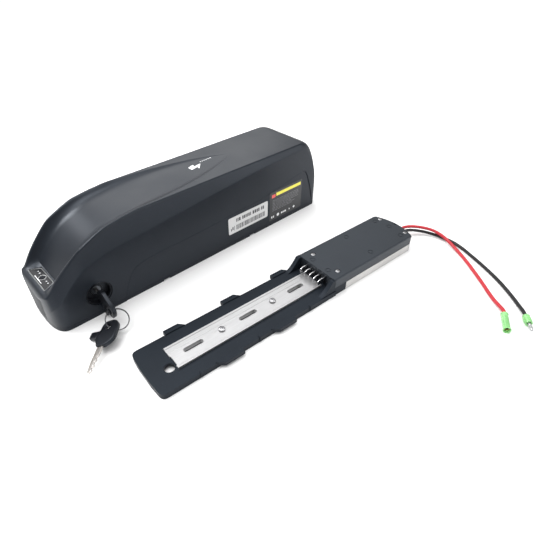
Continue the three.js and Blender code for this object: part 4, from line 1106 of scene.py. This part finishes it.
hole_half, hole_high = GROMMET["half"] + GAP, GROMMET["high"] + GAP
cut(cover, hollow)
join(cover, *posts)
cut(
    cover, block(BOX["x0"] - 5, BOX["x0"] + 20, -20, 20, 5, 22.3),
    *[rod(1.7, 5, 40, at(x, y, 0), 24) for x, y in COVER_SCREWS],
    *[rod(3.4, top - 1.4, 40, at(x, y, 0), 32) for x, y in COVER_SCREWS],
    block(
        LIFT_NOTCH["x"], LIFT_NOTCH["x"] + 3, -LIFT_NOTCH["half"], LIFT_NOTCH["half"],
        top - LIFT_NOTCH["deep"], 40,
    ),
    *wing_pockets, *ejector_rings,
    block(
        GROMMET["x0"] - GAP, GROMMET["x1"] + 5, GROMMET["y"] - hole_half, GROMMET["y"] + hole_half,
        GROMMET["z"] - hole_high, GROMMET["z"] + hole_high,
    ),
)
place(cover, CRADLE, "cradle", "cover", ["controller_cover"])


def oval(x, less):
    """The strain relief's rounded section at one place, smaller by a given inset."""
    half, high, corner = GROMMET["half"] - less, GROMMET["high"] - less, GROMMET["corner"] - less * 0.5
    ring = rounded([(-half, -high), (half, -high), (half, high), (-half, high)], corner, 5)
    return [(x, GROMMET["y"] + a, GROMMET["z"] + b) for a, b in ring]


relief = loft("strain_relief", [oval(GROMMET["x0"] + d, less) for d, less in RELIEF_STEPS])
place(relief, CRADLE, "cradle", "rubber", ["cable_grommet"], 40)


# ---- Slot liners ----

SLOTS_AT, SLOT_STRAIGHT = (0, 74, 148), 9.5
LINER_OUTER, LINER_INNER, LINER_LOW, LINER_HIGH = 3.22, 2.85, 4.6, 7.7


def slot_outline(x, half_wide):
    """A slot with round ends."""
    turns = np.linspace(-math.pi / 2, math.pi / 2, 13)
    right = [(x + SLOT_STRAIGHT + half_wide * math.cos(a), half_wide * math.sin(a)) for a in turns]
    return right + [(2 * x - px, -py) for px, py in right]


for i, x in enumerate(SLOTS_AT, 1):
    outlines = [slot_outline(x, LINER_OUTER), slot_outline(x, LINER_INNER)]
    liner = plate(f"slot_liner_{i}", outlines, LINER_LOW, LINER_HIGH)
    place(liner, CRADLE, "cradle", "rail")


# ---- CAD nodes whose shape is right ----

softened("base_tray", 0.45, "tray")
softened("rail_plate", 0.2, "rail")
softened("heat_sink", 0.3, "sink")
softened("terminal_block", 0.3, "black")
softened("discharge_socket", 0.3, "black")
softened("lock_bolt", 0.8, "steel", 50)
for i in range(5):
    softened(f"blade_contact_{i + 1}", 0.25, "steel")
for part in frame["record"]["subparts"]:
    look = part["material_slot"]
    if look in ("cell", "board", "foam"):
        mesh = frame["nodes"][part["node"]].data
        mesh.materials.clear()
        mesh.materials.append(LOOKS[look])
        mesh.set_sharp_from_angle(angle=math.radians(40))

bpy.data.objects.remove(outer)


# ---- Floor and light ----

FLOOR_HALF = 8.0
WORLD_STRENGTH, SUN_POWER, SUN_ANGLE = 0.62, 1.7, math.radians(70)
LAMPS_AIM = Vector((0, 0, 0.05))
floor_mesh = bpy.data.meshes.new("floor")
corners = [(-1, -1), (1, -1), (1, 1), (-1, 1)]
floor_mesh.from_pydata([(x * FLOOR_HALF, y * FLOOR_HALF, 0) for x, y in corners], [], [(0, 1, 2, 3)])
floor_mesh.materials.append(material(
    "floor", (0.9, 0.9, 0.9), 0.6, specular=0.2, grain=(300, 0.02), vary=0.01, patches=2,
))
added("floor", floor_mesh)

world = bpy.data.worlds.new("studio")
world.use_nodes = True
world.node_tree.nodes["Background"].inputs["Color"].default_value = (1.0, 1.0, 1.0, 1)
world.node_tree.nodes["Background"].inputs["Strength"].default_value = WORLD_STRENGTH
bpy.context.scene.world = world


def softbox(name, location, size, power):
    """A rectangular lamp that looks at the middle of the object."""
    lamp = bpy.data.lights.new(name, "AREA")
    lamp.shape = "RECTANGLE"
    lamp.size, lamp.size_y = size
    lamp.energy = power
    obj = added(name, lamp)
    obj.location = location
    obj.rotation_mode = "QUATERNION"
    obj.rotation_quaternion = (LAMPS_AIM - Vector(location)).to_track_quat("-Z", "Y")


softbox("back_light", (0.5, 1.5, 1.2), (1.6, 0.9), 11)
softbox("top_light", (-0.25, 0.15, 1.5), (0.8, 0.8), 9)
softbox("nose_light", (-0.75, 0.95, 1.15), (0.6, 0.5), 16)
softbox("side_light", (0.9, -1.5, 0.2), (1.2, 0.34), 8)
sun = added("sky_light", bpy.data.lights.new("sky_light", "SUN"))
sun.data.energy = SUN_POWER
sun.data.angle = SUN_ANGLE
bpy.context.scene.view_settings.view_transform = "Standard"
